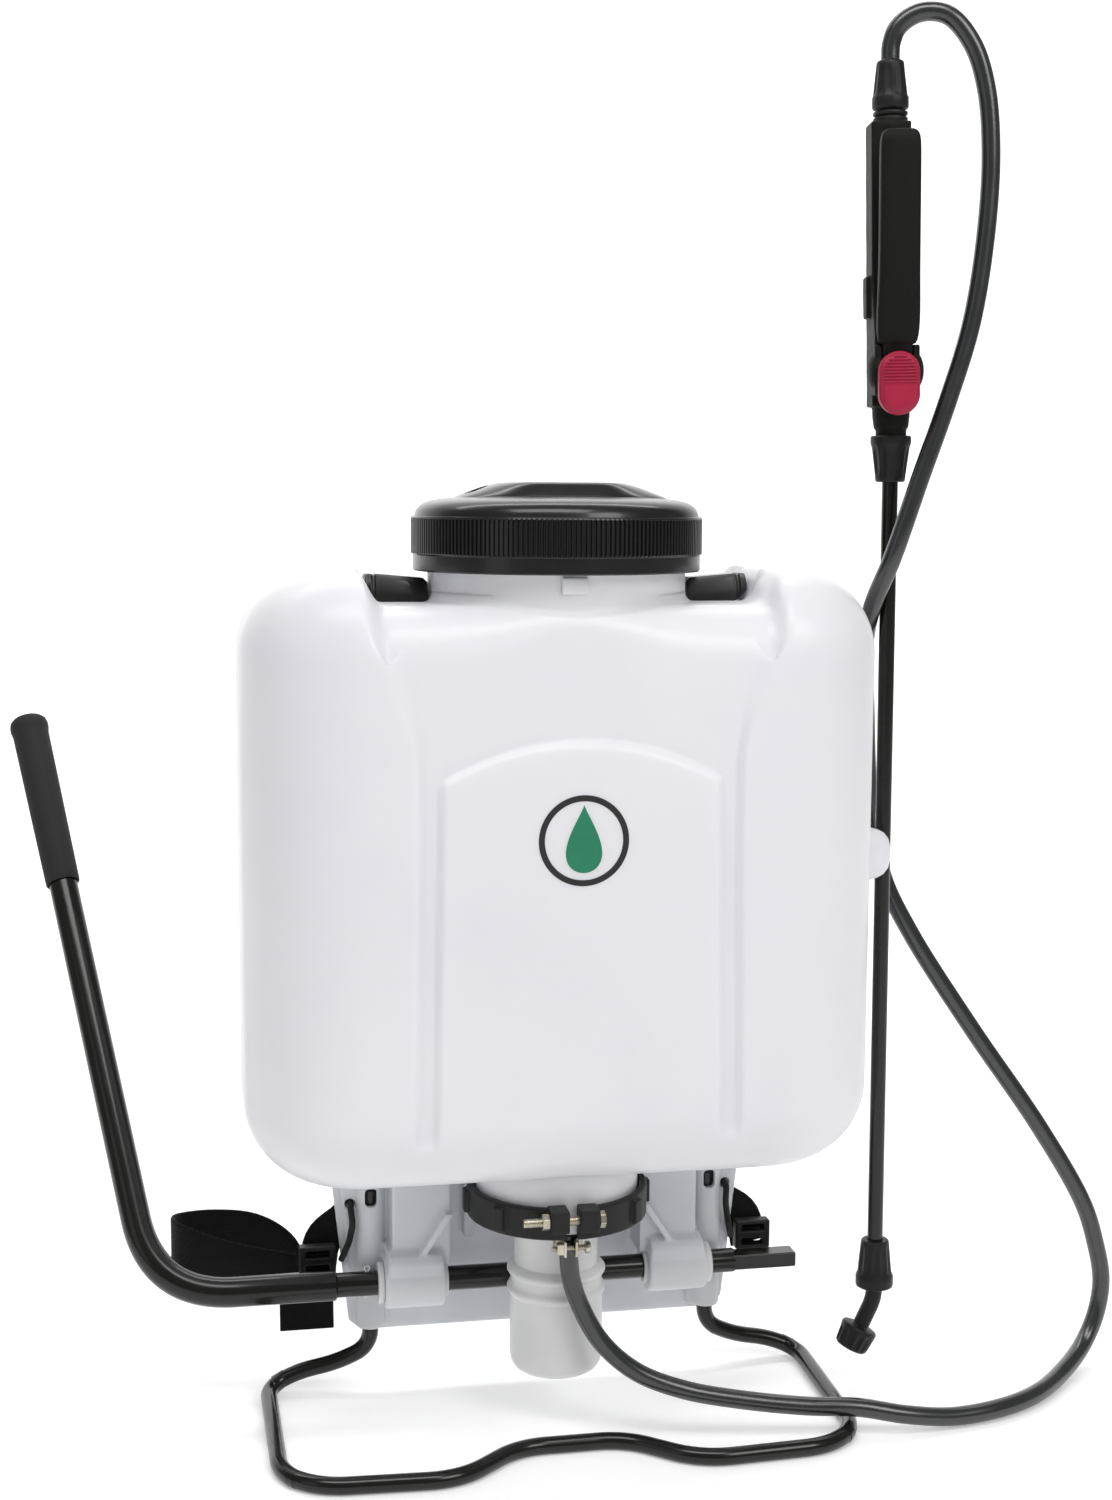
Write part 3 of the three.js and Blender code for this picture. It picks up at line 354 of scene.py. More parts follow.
class Shape:
    """Points and faces gathered from rings, tubes, turned forms and blocks."""

    def __init__(self, points=(), faces=()):
        self.points = list(points)
        self.faces = list(faces)

    def rings(self, rings, closed=False, cap_start=True, cap_end=True):
        first = len(self.points)
        size = len(rings[0])
        for ring in rings:
            self.points.extend(tuple(p) for p in ring)
        count = len(rings)
        for i in range(count if closed else count - 1):
            a = first + i * size
            b = first + ((i + 1) % count) * size
            for j in range(size):
                k = (j + 1) % size
                self.faces.append((a + j, a + k, b + k, b + j))
        if not closed and cap_start:
            self.faces.append(tuple(first + j for j in reversed(range(size))))
        if not closed and cap_end:
            self.faces.append(tuple(first + (count - 1) * size + j for j in range(size)))
        return self

    def turned(self, profile, centre, direction=(0, 0, 1), sides=48, closed=False, ripple=None):
        """A form turned from (radius, distance along the axis) pairs; ripple(angle, distance) scales them."""
        z_axis = Vector(direction).normalized()
        x_axis = Vector((1, 0, 0)) if abs(z_axis.x) < 0.9 else Vector((0, 1, 0))
        x_axis = (x_axis - z_axis * x_axis.dot(z_axis)).normalized()
        y_axis = z_axis.cross(x_axis)
        rings = []
        for radius, along in profile:
            middle = Vector(centre) + z_axis * along
            ring = []
            for angle in turns(sides):
                r = radius * (ripple(angle, along) if ripple else 1)
                ring.append(middle + x_axis * r * math.cos(angle) + y_axis * r * math.sin(angle))
            rings.append(ring)
        return self.rings(rings, closed=closed)

    def tube(self, path, radius, sides=20):
        """A round bar along a path; radius is a number or a function of the share of the way along."""
        p = [Vector(q) for q in path]
        tangents = [(b - a).normalized() for a, b in zip([p[0], *p[:-1]], [*p[1:], p[-1]])]
        tangents[0] = (p[1] - p[0]).normalized()
        tangents[-1] = (p[-1] - p[-2]).normalized()
        side = tangents[0].orthogonal().normalized()
        rings = []
        for i, (q, t) in enumerate(zip(p, tangents)):
            side = (side - t * side.dot(t)).normalized()
            other = t.cross(side)
            r = radius(i / (len(p) - 1)) if callable(radius) else radius
            rings.append([q + side * r * math.cos(a) + other * r * math.sin(a) for a in turns(sides)])
        return self.rings(rings)

    def moved(self, place):
        self.points = [tuple(place(p)) for p in self.points]
        return self

    def block(self, x0, x1, y0, y1, z0, z1):
        return self.prism([(x0, y0), (x1, y0), (x1, y1), (x0, y1)], z0, z1)

    def prism(self, outline, low, high, axis="z"):
        """A flat outline drawn out along an axis: (y, z) pairs along x, (x, z) along y or (x, y) along z."""
        order = {"x": (2, 0, 1), "y": (0, 2, 1), "z": (0, 1, 2)}[axis]
        return self.rings([[tuple((u, v, w)[k] for k in order) for u, v in outline] for w in (low, high)])


def rod(radius, low, high, centre, direction=(0, 0, 1), sides=24):
    """A plain round bar, or the tool for a bore."""
    profile = [(0.02, low), (radius, low), (radius, high), (0.02, high)]
    return Shape().turned(profile, centre, direction, sides)


def soften(obj, width, segments=3, angle=40):
    """Rounds an object's hard edges with a bevel."""
    bevel = obj.modifiers.new("rounded_edges", "BEVEL")
    bevel.width = width / 1000
    bevel.segments = segments
    bevel.limit_method = "ANGLE"
    bevel.angle_limit = math.radians(angle)
    bevel.harden_normals = True
    return obj


def joined(name, shapes, material, replaced, voxel, smooth, cuts=()):
    """Solids fused into one skin by a voxel remesh, which blends them as a moulding does, less the cuts."""
    whole = Shape()
    for shape in shapes:
        offset = len(whole.points)
        whole.points.extend(shape.points)
        whole.faces.extend(tuple(i + offset for i in face) for face in shape.faces)
    obj = piece(name, whole, material, replaced=replaced)
    fuse = obj.modifiers.new("fuse", "REMESH")
    fuse.mode = "VOXEL"
    fuse.voxel_size = voxel / 1000
    fuse.use_smooth_shade = True
    relax = obj.modifiers.new("relax", "SMOOTH")
    relax.iterations = smooth
    relax.factor = 0.5
    bake(obj)
    for tool in cuts:
        subtract(obj, tool)
    return obj


def bake(obj):
    """Applies the modifiers and keeps the result as the object's own mesh."""
    mesh = bpy.data.meshes.new_from_object(obj.evaluated_get(bpy.context.evaluated_depsgraph_get()))
    obj.modifiers.clear()
    obj.data = mesh


def subtract(obj, shape):
    """Takes a shape away from an object."""
    tool = bpy.data.objects.new("tool", mesh_of("tool", shape, merged=False))
    bpy.context.scene.collection.objects.link(tool)
    cut = obj.modifiers.new("cut", "BOOLEAN")
    cut.operation = "DIFFERENCE"
    cut.object = tool
    cut.solver = "EXACT"
    bake(obj)
    bpy.data.objects.remove(tool)


def smoothstep(x, low, high):
    t = min(max((x - low) / (high - low), 0.0), 1.0)
    return t * t * (3 - 2 * t)


# ---------------------------------------------------------------- tank


def rounded_outline(half_width, half_depth, corner, count):
    """Points and outward directions round a rounded rectangle, evenly spaced and anticlockwise from +X."""
    straight_x, straight_y, arc = half_width - corner, half_depth - corner, math.pi / 2 * corner
    quarter_length = straight_x + straight_y + arc
    out = []
    for i in range(count):
        quarter, s = divmod(4 * quarter_length * i / count, quarter_length)
        sx, sy = [(1, 1), (-1, 1), (-1, -1), (1, -1)][int(quarter) % 4]
        if quarter % 2:
            s = quarter_length - s  # the mirrored quarters run the other way
        if s < straight_y:
            x, y, nx, ny = half_width, s, 1, 0
        elif s < straight_y + arc:
            nx, ny = math.cos((s - straight_y) / corner), math.sin((s - straight_y) / corner)
            x, y = straight_x + corner * nx, straight_y + corner * ny
        else:
            x, y, nx, ny = quarter_length - s, half_depth, 0, 1
        out.append(((sx * x, sy * y), (sx * nx, sy * ny)))
    return out


def inset_of(x, y):
    """How far inside the tank's plan outline a point is."""
    past_x = abs(x) - (TANK_HALF_WIDTH - TANK_CORNER)
    past_y = abs(y) - (TANK_HALF_DEPTH - TANK_CORNER)
    if past_x > 0 and past_y > 0:
        return TANK_CORNER - math.hypot(past_x, past_y)
    return TANK_CORNER - max(past_x, past_y)


def crease_x(z):
    """Half width of the sunken middle band at a height: it narrows from the shoulders down to the panel."""
    return 85 + 23 * smoothstep(z, 380, 472) + 2 * (1 - smoothstep(z, 180, 350))


BAND_DEPTH = 4.6  # how far the band's front lies behind the shoulders'
BAND_TOP = 465
BAND_EDGE = 30
BAND_SQUARER = 19  # how much smaller the band's edge radius is in front of the neck
BAND_FOOT = 183
PANEL_HALF = 74
PANEL_TOP = 395
PANEL_CORNER = 375


def band_share(x, z):
    """1 inside the sunken middle band, 0 on the shoulders either side of it."""
    crease = crease_x(z)
    half = 2.2 + 1.3 * smoothstep(z, 390, 450)
    return 1 - smoothstep(abs(x), crease - half, crease + half)


def panel_share(x, z):
    """1 on the raised panel under its arch, 0 in the band round it."""
    half = PANEL_HALF + 3 * (PANEL_CORNER - min(z, PANEL_CORNER)) / 190
    arch = PANEL_TOP - (PANEL_TOP - PANEL_CORNER) * (x / PANEL_HALF) ** 2
    return (1 - smoothstep(abs(x), half - 2, half + 2)) * (1 - smoothstep(z, arch - 2.4, arch + 2.2))


def front_relief(x, z):
    """How deep the tank's front face lies below the shoulders' skin."""
    foot = smoothstep(z, BAND_FOOT - 3, BAND_FOOT + 4)
    return BAND_DEPTH * foot * band_share(x, z) * (1 - panel_share(x, z))


def tank_ring_points(around=640):
    """The tank's skin as rings from the middle of its underside to the foot of its neck."""
    outline = rounded_outline(TANK_HALF_WIDTH, TANK_HALF_DEPTH, TANK_CORNER, around)
    rings = []
    for share in (0.02, 0.35, 0.7):
        rings.append([(*(Vector(p) - Vector(n) * TANK_EDGE) * share, TANK_BOTTOM) for p, n in outline])
    for i in range(17):
        angle = math.pi / 2 * i / 16
        inset = TANK_EDGE * (1 - math.sin(angle))
        z = TANK_BOTTOM + TANK_EDGE * (1 - math.cos(angle))
        rings.append([skin_point(p, n, inset, z) for p, n in outline])
    sides = 130
    low = TANK_BOTTOM + TANK_EDGE
    rims = [top_form(p[0], p[1], TANK_TOP - TANK_EDGE) for p, _ in outline]
    for i in range(1, sides + 1):
        ring = []
        for (p, n), (_, top, edge) in zip(outline, rims):
            ring.append(skin_point(p, n, 0, low + (top - edge - low) * i / sides))
        rings.append(ring)
    starts = [(x, y) for x, y, _ in rings[-1]]
    steps = 72
    foot = NECK_RADIUS + NECK_FILLET
    for i in range(1, steps + 1):
        share = (i / steps) ** 1.7
        ring = []
        for x0, y0 in starts:
            angle = math.atan2(y0, x0)
            x = x0 + (foot * math.cos(angle) - x0) * share
            y = y0 + (foot * math.sin(angle) - y0) * share
            ring.append((x, y, top_height(x, y)))
        rings.append(ring)
    return rings


def skin_point(place, outwards, inset, z):
    """A point of the side skin, sunk by the front's relief and by an inset."""
    depth = inset + (front_relief(place[0], z) if place[1] < 0 else 0)
    return (place[0] - outwards[0] * depth, place[1] - outwards[1] * depth, z)


def top_form(x, y, z):
    """Half depth, top and edge radius over a point: the band is lower and squarer than the shoulders."""
    share = band_share(x, z)
    half_depth = TANK_HALF_DEPTH - (BAND_DEPTH * share if y < 0 else 0)
    band_edge = BAND_EDGE - BAND_SQUARER * math.exp(-(x / 45) ** 2)
    return half_depth, TANK_TOP - (TANK_TOP - BAND_TOP) * share, TANK_EDGE - (TANK_EDGE - band_edge) * share


def top_height(x, y):
    """The height of the tank's rounded top over a point."""
    inset = inset_of(x, y)
    rough = min(max(TANK_EDGE - inset, 0), TANK_EDGE)
    half_depth, top, edge = top_form(x, y, TANK_TOP - TANK_EDGE + math.sqrt(TANK_EDGE ** 2 - rough ** 2))
    inset -= TANK_HALF_DEPTH - half_depth
    left = min(max(edge - inset, 0), edge)
    return top - edge + math.sqrt(edge ** 2 - left ** 2)


def smoothed(rings, rounds=10):
    """The rings relaxed in front, where the creases run over the shoulders, and under the neck."""
    grid = np.array([[list(p) for p in ring] for ring in rings])
    x, y, z = grid[..., 0], grid[..., 1], grid[..., 2]
    near_crease = np.exp(-((np.abs(x) - 100) / 15) ** 4) * np.clip((z - 402) / 12, 0, 1)
    under_neck = np.exp(-(x / 80) ** 6) * np.clip((z - 446) / 6, 0, 1)
    weight = np.maximum(near_crease, 0.8 * under_neck) * (y < -20)
    weight[:2] = 0
    weight[-2:] = 0
    weight = weight[..., None]
    for _ in range(rounds):
        around = (np.roll(grid, 1, 1) + np.roll(grid, -1, 1)) / 2
        along = grid.copy()
        along[1:-1] = (grid[:-2] + grid[2:]) / 2
        grid += weight * 0.8 * ((around + along) / 2 - grid)
    return [[tuple(p) for p in ring] for ring in grid]


def make_tank():
    """The tank in one skin: the body, the fillet up to its neck, and the neck's inside."""
    rings = smoothed(tank_ring_points())
    last = rings[-1]
    for i in range(1, 9):
        turn = math.pi / 2 * i / 8
        inward = NECK_FILLET * math.sin(turn)
        lift = (NECK_FILLET + 1) * (1 - math.cos(turn))
        ring = []
        for x, y, z in last:
            angle = math.atan2(y, x)
            r = math.hypot(x, y) - inward
            ring.append((r * math.cos(angle), r * math.sin(angle), z + lift))
        rings.append(ring)
    neck = [(NECK_RADIUS, 470), (NECK_RADIUS, 484.4), (NECK_RADIUS + 1.5, 486), (NECK_RADIUS + 1.8, 487.2),
            (NECK_RADIUS + 1.2, 488.6), (NECK_RADIUS, 489.6), (NECK_RADIUS, 493), (NECK_RADIUS - 1, 494),
            (67.3, 494), (66.5, 493.2), (66.5, 440), (60, 434), (1, 434)]
    angles = [math.atan2(y, x) for x, y, _ in last]
    rings += [[(r * math.cos(a), r * math.sin(a), z) for a in angles] for r, z in neck]
    piece("tank_shell", Shape().rings(rings), TANK_WHITE, replaced=["tank"], sharp=50)


def make_tank_fittings():
    """The neck for the pump, the two half-round knobs that the wand rests between, two pads and a tab."""
    neck = Shape().turned([(41.7, 163), (41.7, 131.8), (42.4, 131), (44.9, 131), (45.7, 131.8), (45.7, 163)],
                          (0, PUMP_Y, 0), sides=96, closed=True)
    piece("tank_pump_neck", neck, TANK_WHITE)
    half = KNOB_LENGTH / 2
    bulge = [(170, 1.14), (174, 1.06), (176, 1.0), (180, 0.97), (184, 0.9), (187.5, 0.78), (190, 0.58),
             (191.2, 0.35), (191.6, 0.05)]
    for side, name in ((-1, "front"), (1, "rear")):
        rings = []
        for x, grow in bulge:
            rings.append([(x, side * half + half / 2 * math.sin(a) * grow, KNOB_Z + half * math.cos(a) * grow)
                          for a in turns(40)])
        piece("wand_rest_knob_" + name, Shape().rings(rings), TANK_WHITE, sharp=60)
    for name, z in (("lower", 270), ("upper", 378)):
        pad = Shape().block(172, 177, -16, 16, z - 12, z + 12)
        soften(piece("side_pad_" + name, pad, TANK_WHITE), 3.5, 5)
    tab = Shape().block(-10.5, 3.5, -72.6, -68, 471.5, 480.5)
    soften(piece("neck_tab", tab, TANK_WHITE), 1.2, 3)


EMBLEM_Z = 344
EMBLEM_RADIUS = 24
EMBLEM_LINE = 3.2
PRINT_THICKNESS = 0.12


def on_panel(x, z):
    """A printed point on the panel's skin, counted from the emblem's middle."""
    z = EMBLEM_Z + z
    return (x, -TANK_HALF_DEPTH + front_relief(x, z) - PRINT_THICKNESS, z)


def make_emblem():
    """A plain round badge with a drop in it, printed on the panel."""
    radii = (EMBLEM_RADIUS - EMBLEM_LINE, EMBLEM_RADIUS)
    rings = [[on_panel(r * math.cos(a), r * math.sin(a)) for a in turns(96)] for r in radii]
    ring = Shape().rings(rings, cap_start=False, cap_end=False)
    piece("emblem_ring", ring, EMBLEM_BLACK)
    outline = [(11 * math.sin(a) * (0.5 - 0.5 * math.cos(a)) ** 0.75 * 1.25, 18 * math.cos(a) + 1)
               for a in turns(96)]
    rings = [[on_panel(x * share, z * share) for x, z in outline] for share in (0.001, 0.25, 0.5, 0.75, 1)]
    piece("emblem_drop", Shape().rings(rings, cap_end=False), GREEN)


# ---------------------------------------------------------------- filler cap


def make_cap():
    """The screw cap: a dome over a rim with a fine knurl."""
    ribs = 190
    per_rib = 6

    def knurl(angle, z):
        if not 491 < z < 510:
            return 1
        phase = (angle * ribs / (2 * math.pi)) % 1
        groove = smoothstep(abs(phase - 0.5), 0.16, 0.30)
        return 1 - 0.013 * (1 - groove)

    profile = [(71.8, 499.8), (71.8, 484), (74.6, 482.2), (76, 481.6), (78.4, 481.6), (79, 482.4),
               (79, 490.2), (79.3, 490.6), (79.9, 491), (80, 491.4), (80, 491.6), (80, 493.5), (80, 500),
               (80, 507.8), (80, 509.6), (80, 510.1), (79.6, 510.9), (78.8, 511.2), (78.2, 511.3),
               (78, 511.8), (77.7, 513), (76.9, 514.8), (75.4, 516.6), (73, 518.2), (69.4, 519.5),
               (64, 520.5), (56, 521.3), (48, 521.8), (36, 522.2), (20, 522.4), (3, 522.5), (3, 517.5),
               (40, 516.5), (66, 509), (71, 506), (71.8, 503)]
    shape = Shape().turned(profile, (0, 0, 0), sides=ribs * per_rib, closed=True, ripple=knurl)
    piece("cap_shell", shape, CAP_GLOSS, "cap", ["tank_cap"], sharp=28)
    make_cap_grip()


def rounded_polygon(corners, radius, arc_points=7):
    """The corners of a convex outline rounded off."""
    out = []
    count = len(corners)
    for i in range(count):
        before, here, after = (Vector(corners[(i + k) % count]) for k in (-1, 0, 1))
        start = here + (before - here).normalized() * radius
        end = here + (after - here).normalized() * radius
        for k in range(arc_points + 1):
            t = k / arc_points
            out.append(tuple(start * (1 - t) ** 2 + here * (2 * t * (1 - t)) + end * t ** 2))
    return out


def make_cap_grip():
    """The raised handle across the cap, with its finger hollow."""
    foot = rounded_polygon([(-58, -20), (-30, -38), (34, -38), (62, -18), (62, 18), (34, 38), (-30, 38),
                            (-58, 20)], 15)
    crown = rounded_polygon([(-33, -15), (-22, -30), (26, -30), (37, -13), (37, 13), (26, 30), (-22, 30),
                             (-33, 15)], 8.4)
    rings = []
    for z, share in [(517, 0.0), (519.4, 0.0), (520.6, 0.03), (521.6, 0.1), (523, 0.24), (524.6, 0.42),
                     (526.2, 0.6), (527.6, 0.77), (528.6, 0.92), (529.2, 1.05), (529.4, 1.15)]:
        rings.append([(x0 + (x1 - x0) * share, y0 + (y1 - y0) * share, z)
                      for (x0, y0), (x1, y1) in zip(foot, crown)])
    top = rings[-1]
    for share in (0.8, 0.5, 0.2, 0.02):
        rings.append([(2 + (x - 2) * share, y * share, z + 0.3) for x, y, z in top])
    shape = Shape().rings(rings)
    grip = piece("cap_grip", shape, CAP_GLOSS, "cap", sharp=45)
    subtract(grip, Shape().turned([(0.01, 523.2), (10, 523.2), (12.6, 524.4), (14, 527), (14.6, 532),
                                   (0.01, 532)], (-52, 0, 0), sides=64))
    subtract(grip, Shape().turned([(0.01, 510), (2.8, 510), (2.8, 528.6), (3.6, 529.6), (3.6, 532),
                                   (0.01, 532)], (22, 0, 0), sides=24))
    sharpen(grip.data, 40)


# ---------------------------------------------------------------- tubes: stand, lever, wand


def bent(corners, bends, arc_points=14):
    """Straight runs joined by rounded corners."""
    pts = [Vector(c) for c in corners]
    out = [pts[0]]
    for i, bend in enumerate(bends, 1):
        start = pts[i] + (pts[i - 1] - pts[i]).normalized() * bend
        end = pts[i] + (pts[i + 1] - pts[i]).normalized() * bend
        for k in range(arc_points + 1):
            t = k / arc_points
            out.append(start * (1 - t) ** 2 + pts[i] * (2 * t * (1 - t)) + end * t ** 2)
    return [*out, pts[-1]]


def dense(path, step=4):
    """The same path with points no further apart than the step."""
    out = [path[0]]
    for a, b in zip(path, path[1:]):
        count = max(1, math.ceil((b - a).length / step))
        out += [a.lerp(b, k / count) for k in range(1, count + 1)]
    return out


def make_stand():
    """One bent bar: up into both sleeves, out to the sides and round the front on the floor."""
    radius = 4.75
    z = radius - 0.6
    half = [(CHANNEL_X, CHANNEL_Y, 121), (CHANNEL_X, CHANNEL_Y, 27), (118, 43, 17), (146, 45, 11),
            (161, 41, z), (160, -66, z), (143, -87, z), (66, -91, z), (30, -60, z)]
    left = [(-x, y, h) for x, y, h in reversed(half)]
    bends = [10, 12, 12, 12, 14, 18, 18]
    path = dense(bent([*half, *left], [*bends, 16, 16, *reversed(bends)]), 5)
    shape = Shape().tube(path, radius, 24).moved(lambda p: (p[0], p[1], max(p[2], 0.02)))  # flat underneath
    piece("stand_tube", shape, PAINT, replaced=["stand_frame"], sharp=50)


LEVER_LEAN = math.radians(33.4)
LEVER_SPLAY = math.radians(11.2)
LEVER_CORNER = 225.7
LEVER_LENGTH = 376
GRIP_LENGTH = 116


def lever_place(p):
    """From the lever's own plane to the tank's axes."""
    return Matrix.Rotation(-LEVER_LEAN, 3, "X") @ Vector(p) + Vector(SHAFT)


def lever_point(distance):
    return (-LEVER_CORNER - distance * math.sin(LEVER_SPLAY), 0, distance * math.cos(LEVER_SPLAY))


def make_lever():
    """The bent pump lever with its grip sleeve."""
    path = dense(bent([(-122, 0, 0), lever_point(0), lever_point(LEVER_LENGTH - 8)], [46], 24), 8)
    start, end = path[0], path[-1]
    first = (path[1] - start).normalized()
    last = (end - path[-2]).normalized()
    path = [start, start + first * 0.8, *path[1:-1], end - last * 0.8, end]
    shape = Shape().tube(path, lambda s: 7.6 if s in (0, 1) else 8.6, 40)
    piece("lever_bar", shape.moved(lever_place), PAINT, "pump_lever", ["lever_tube"], sharp=50)

    low, high = LEVER_LENGTH - GRIP_LENGTH, LEVER_LENGTH
    profile = [(8.8, low + 1), (9.7, low), (10.2, low + 0.8), (10.3, low + 3)]
    profile += [(10.3 + 0.9 * k / 12, low + 3 + (GRIP_LENGTH - 14) * k / 12) for k in range(1, 13)]
    profile += [(11.6, high - 9), (11.9, high - 7.5), (11.9, high - 5), (11.3, high - 2.4), (9.6, high - 0.6),
                (7, high), (0.02, high + 0.4)]
    local = Matrix.Rotation(-LEVER_SPLAY, 3, "Y")
    grip = Shape().turned(profile, (0, 0, 0), sides=72)
    grip.moved(lambda p: lever_place(local @ Vector(p) + Vector((-LEVER_CORNER, 0, 0))))
    piece("grip_sleeve", grip, GRIP, "pump_lever", ["lever_grip"], sharp=45)


def make_shaft():
    round_part = Shape().turned([(0.02, -147), (6.4, -147), (7, -146.2), (7, 113), (6.6, 114), (0.02, 114)],
                                SHAFT, ALONG_X, 56)
    piece("shaft_bar", round_part, PAINT, "pump_lever", ["pump_shaft"], sharp=40)
    flat = Shape().block(111, 151, SHAFT_Y - 6.2, SHAFT_Y + 6.2, SHAFT_Z - 4.4, SHAFT_Z + 4.4)
    soften(piece("shaft_flat", flat, PAINT, "pump_lever"), 1.1, 4)


def make_cotter():
    """A split pin through the shaft: two wires side by side, with a small eye on top."""
    x, top = COTTER_X, SHAFT_Z + 9
    eye = [(x + 1.6 * math.cos(a), SHAFT_Y, top + 1.2 * math.sin(a)) for a in np.linspace(-1.1, 4.24, 24)]
    left = [(x - 0.7, SHAFT_Y, SHAFT_Z + z) for z in (-9, 7.2)]
    right = [(x + 0.7, SHAFT_Y, SHAFT_Z + z) for z in (7.2, -8)]
    wire = Shape().tube([*left, *reversed(eye), *right], 0.65, 12)
    piece("cotter_wire", wire, STEEL, "pump_lever", ["cotter_pin"], sharp=60)


def ripple_of(count, depth, low, high):
    """Round-bottomed flutes cut into a grip between two heights."""
    def ripple(angle, along):
        if not low < along < high:
            return 1
        fade = min(smoothstep(along, low, low + 2), 1 - smoothstep(along, high - 2, high))
        return 1 - depth * fade * (0.5 - 0.5 * math.cos(angle * count)) ** 0.6
    return ripple


def steps_between(pairs, step=2.5):
    """A turned profile with extra rings on its long straight runs."""
    out = [pairs[0]]
    for (r0, a0), (r1, a1) in zip(pairs, pairs[1:]):
        count = max(1, round(abs(a1 - a0) / step))
        out += [(r0 + (r1 - r0) * k / count, a0 + (a1 - a0) * k / count) for k in range(1, count + 1)]
    return out


def fluted_nut(name, profile, flutes, place, replaced, body="sprayer", direction=(0, 0, 1), centre=(0, 0, 0)):
    """A turned nut with flutes: flutes is their count, depth and the two ends of their run along the axis."""
    shape = Shape().turned(steps_between(profile), centre, direction, 120, ripple=ripple_of(*flutes))
    piece(name, shape.moved(place), MOULDED_BLACK, body, [replaced])


def make_wand():
    """The wand's bar, the nozzle's nut, elbow and ribbed cap, and the nuts on the wand and on the hose."""
    tube = Shape().turned([(0.02, 77), (4.2, 77), (4.5, 77.4), (4.5, 544.6), (0.02, 545)], (0, 0, 0),
                          sides=40)
    tube.moved(wand_place)
    piece("wand_bar", tube, PAINT, replaced=["wand_tube"])
    nut = [(4.7, 58.6), (10, 58.5), (10.8, 59), (11, 60), (11, 65), (10.4, 66.2), (10.1, 67), (8.4, 84.6),
           (8, 86.4), (7.2, 87), (4.7, 87)]
    fluted_nut("nozzle_nut_fluted", nut, (12, 0.09, 67, 85), wand_place, "nozzle_nut")
    end = Vector((-7.8, 0, 34.9))
    elbow = Shape().tube(dense(bent([(0, 0, 58.2), (0, 0, 51), end], [6.5]), 2), 4.8, 36).moved(wand_place)
    piece("elbow_pipe", elbow, MOULDED_BLACK, replaced=["nozzle_elbow"])
    away = Vector((math.sin(NOZZLE_TILT), 0, math.cos(NOZZLE_TILT)))
    cap = [(1.4, -13.6), (7.4, -14.3), (8.6, -14), (9.6, -12.8), (10, -11.4), (10.8, -2.6), (10.8, -1.4),
           (10.2, -0.4), (9, 0), (1.4, 0)]
    fluted_nut("nozzle_cap_ribbed", cap, (13, 0.13, -13, -2.4), wand_place, "nozzle_cap", "nozzle_cap",
               away, end - away * 0.8)
    nut = [(4.8, 531), (7.7, 531), (8.3, 531.8), (8.6, 534), (10.8, 551), (11.2, 552), (11.4, 553),
           (11.4, 556), (10.8, 556.8), (4.8, 556.8)]
    fluted_nut("wand_nut_fluted", nut, (12, 0.08, 534, 551), wand_place, "wand_nut")
    nut = [(5.4, 204.2), (6.9, 204.2), (7.5, 203.4), (7.8, 201.7), (9.6, 186), (9.9, 185), (10.1, 184.4),
           (10.1, 179.4), (9.5, 178.4), (5.4, 178.4)]
    fluted_nut("hose_nut_fluted", nut, (12, 0.08, 185, 202), handle_place, "hose_nut")


# ---------------------------------------------------------------- control handle


def make_handle():
    """The grip in one skin, hollow behind the trigger, with two collars. Heights count from its foot."""
    barrel = Shape().turned([(0.02, -1.5), (8.6, -1.5), (8.6, 3.6), (9.6, 4), (9.8, 5), (10.5, 11),
                             (10.5, 169), (9, 173.5), (8.4, 174.5), (8.4, 178), (0.02, 178)], (0, 0, 0),
                            sides=64)
    spine = Shape().block(-12, 10, -9, 11, 16, 171)
    fork = Shape().block(-12.5, 12.5, -21, 6, 22, 49)
    pivot = Shape().turned([(0.02, -15.6), (5, -15.2), (8, -14), (9.6, -12.6), (10.2, -10.5), (10.2, 10.5),
                            (9.6, 12.6), (8, 14), (5, 15.2), (0.02, 15.6)], (0, -13, 35), ALONG_X, 48)
    shoulder = Shape().prism([(-9, 43), (-19, 47), (-19, 55), (-9, 83)], -12.2, -9.4, "x")
    clip = Shape().block(-14.5, -10, -5, 7, 65, 88)
    room = Shape().block(-9, 9, -40, -9.6, 3, 83)
    solids = [shape.moved(handle_place) for shape in (barrel, spine, fork, pivot, shoulder, clip)]
    handle = joined("handle_grip", solids, TRIGGER_BLACK, replaced=["handle_body"],
                    voxel=0.7, smooth=5, cuts=[room.moved(handle_place)])
    sharpen(handle.data, 38)
    for k in range(2):
        ring = [(8.5, 0), (9.4, 0.2), (9.6, 0.8), (9.6, 1.4), (9.4, 2.0), (8.5, 2.2)]
        groove = Shape().turned(ring, (0, 0, 171.6 + 3.2 * k), sides=64).moved(handle_place)
        piece(f"handle_collar_{k + 1}", groove, MOULDED_BLACK)


def superellipse(half_x, half_y, count=32, power=0.45):
    out = []
    for a in turns(count):
        c, s = math.cos(a), math.sin(a)
        out.append((math.copysign(abs(c) ** power, c) * half_x, math.copysign(abs(s) ** power, s) * half_y))
    return out


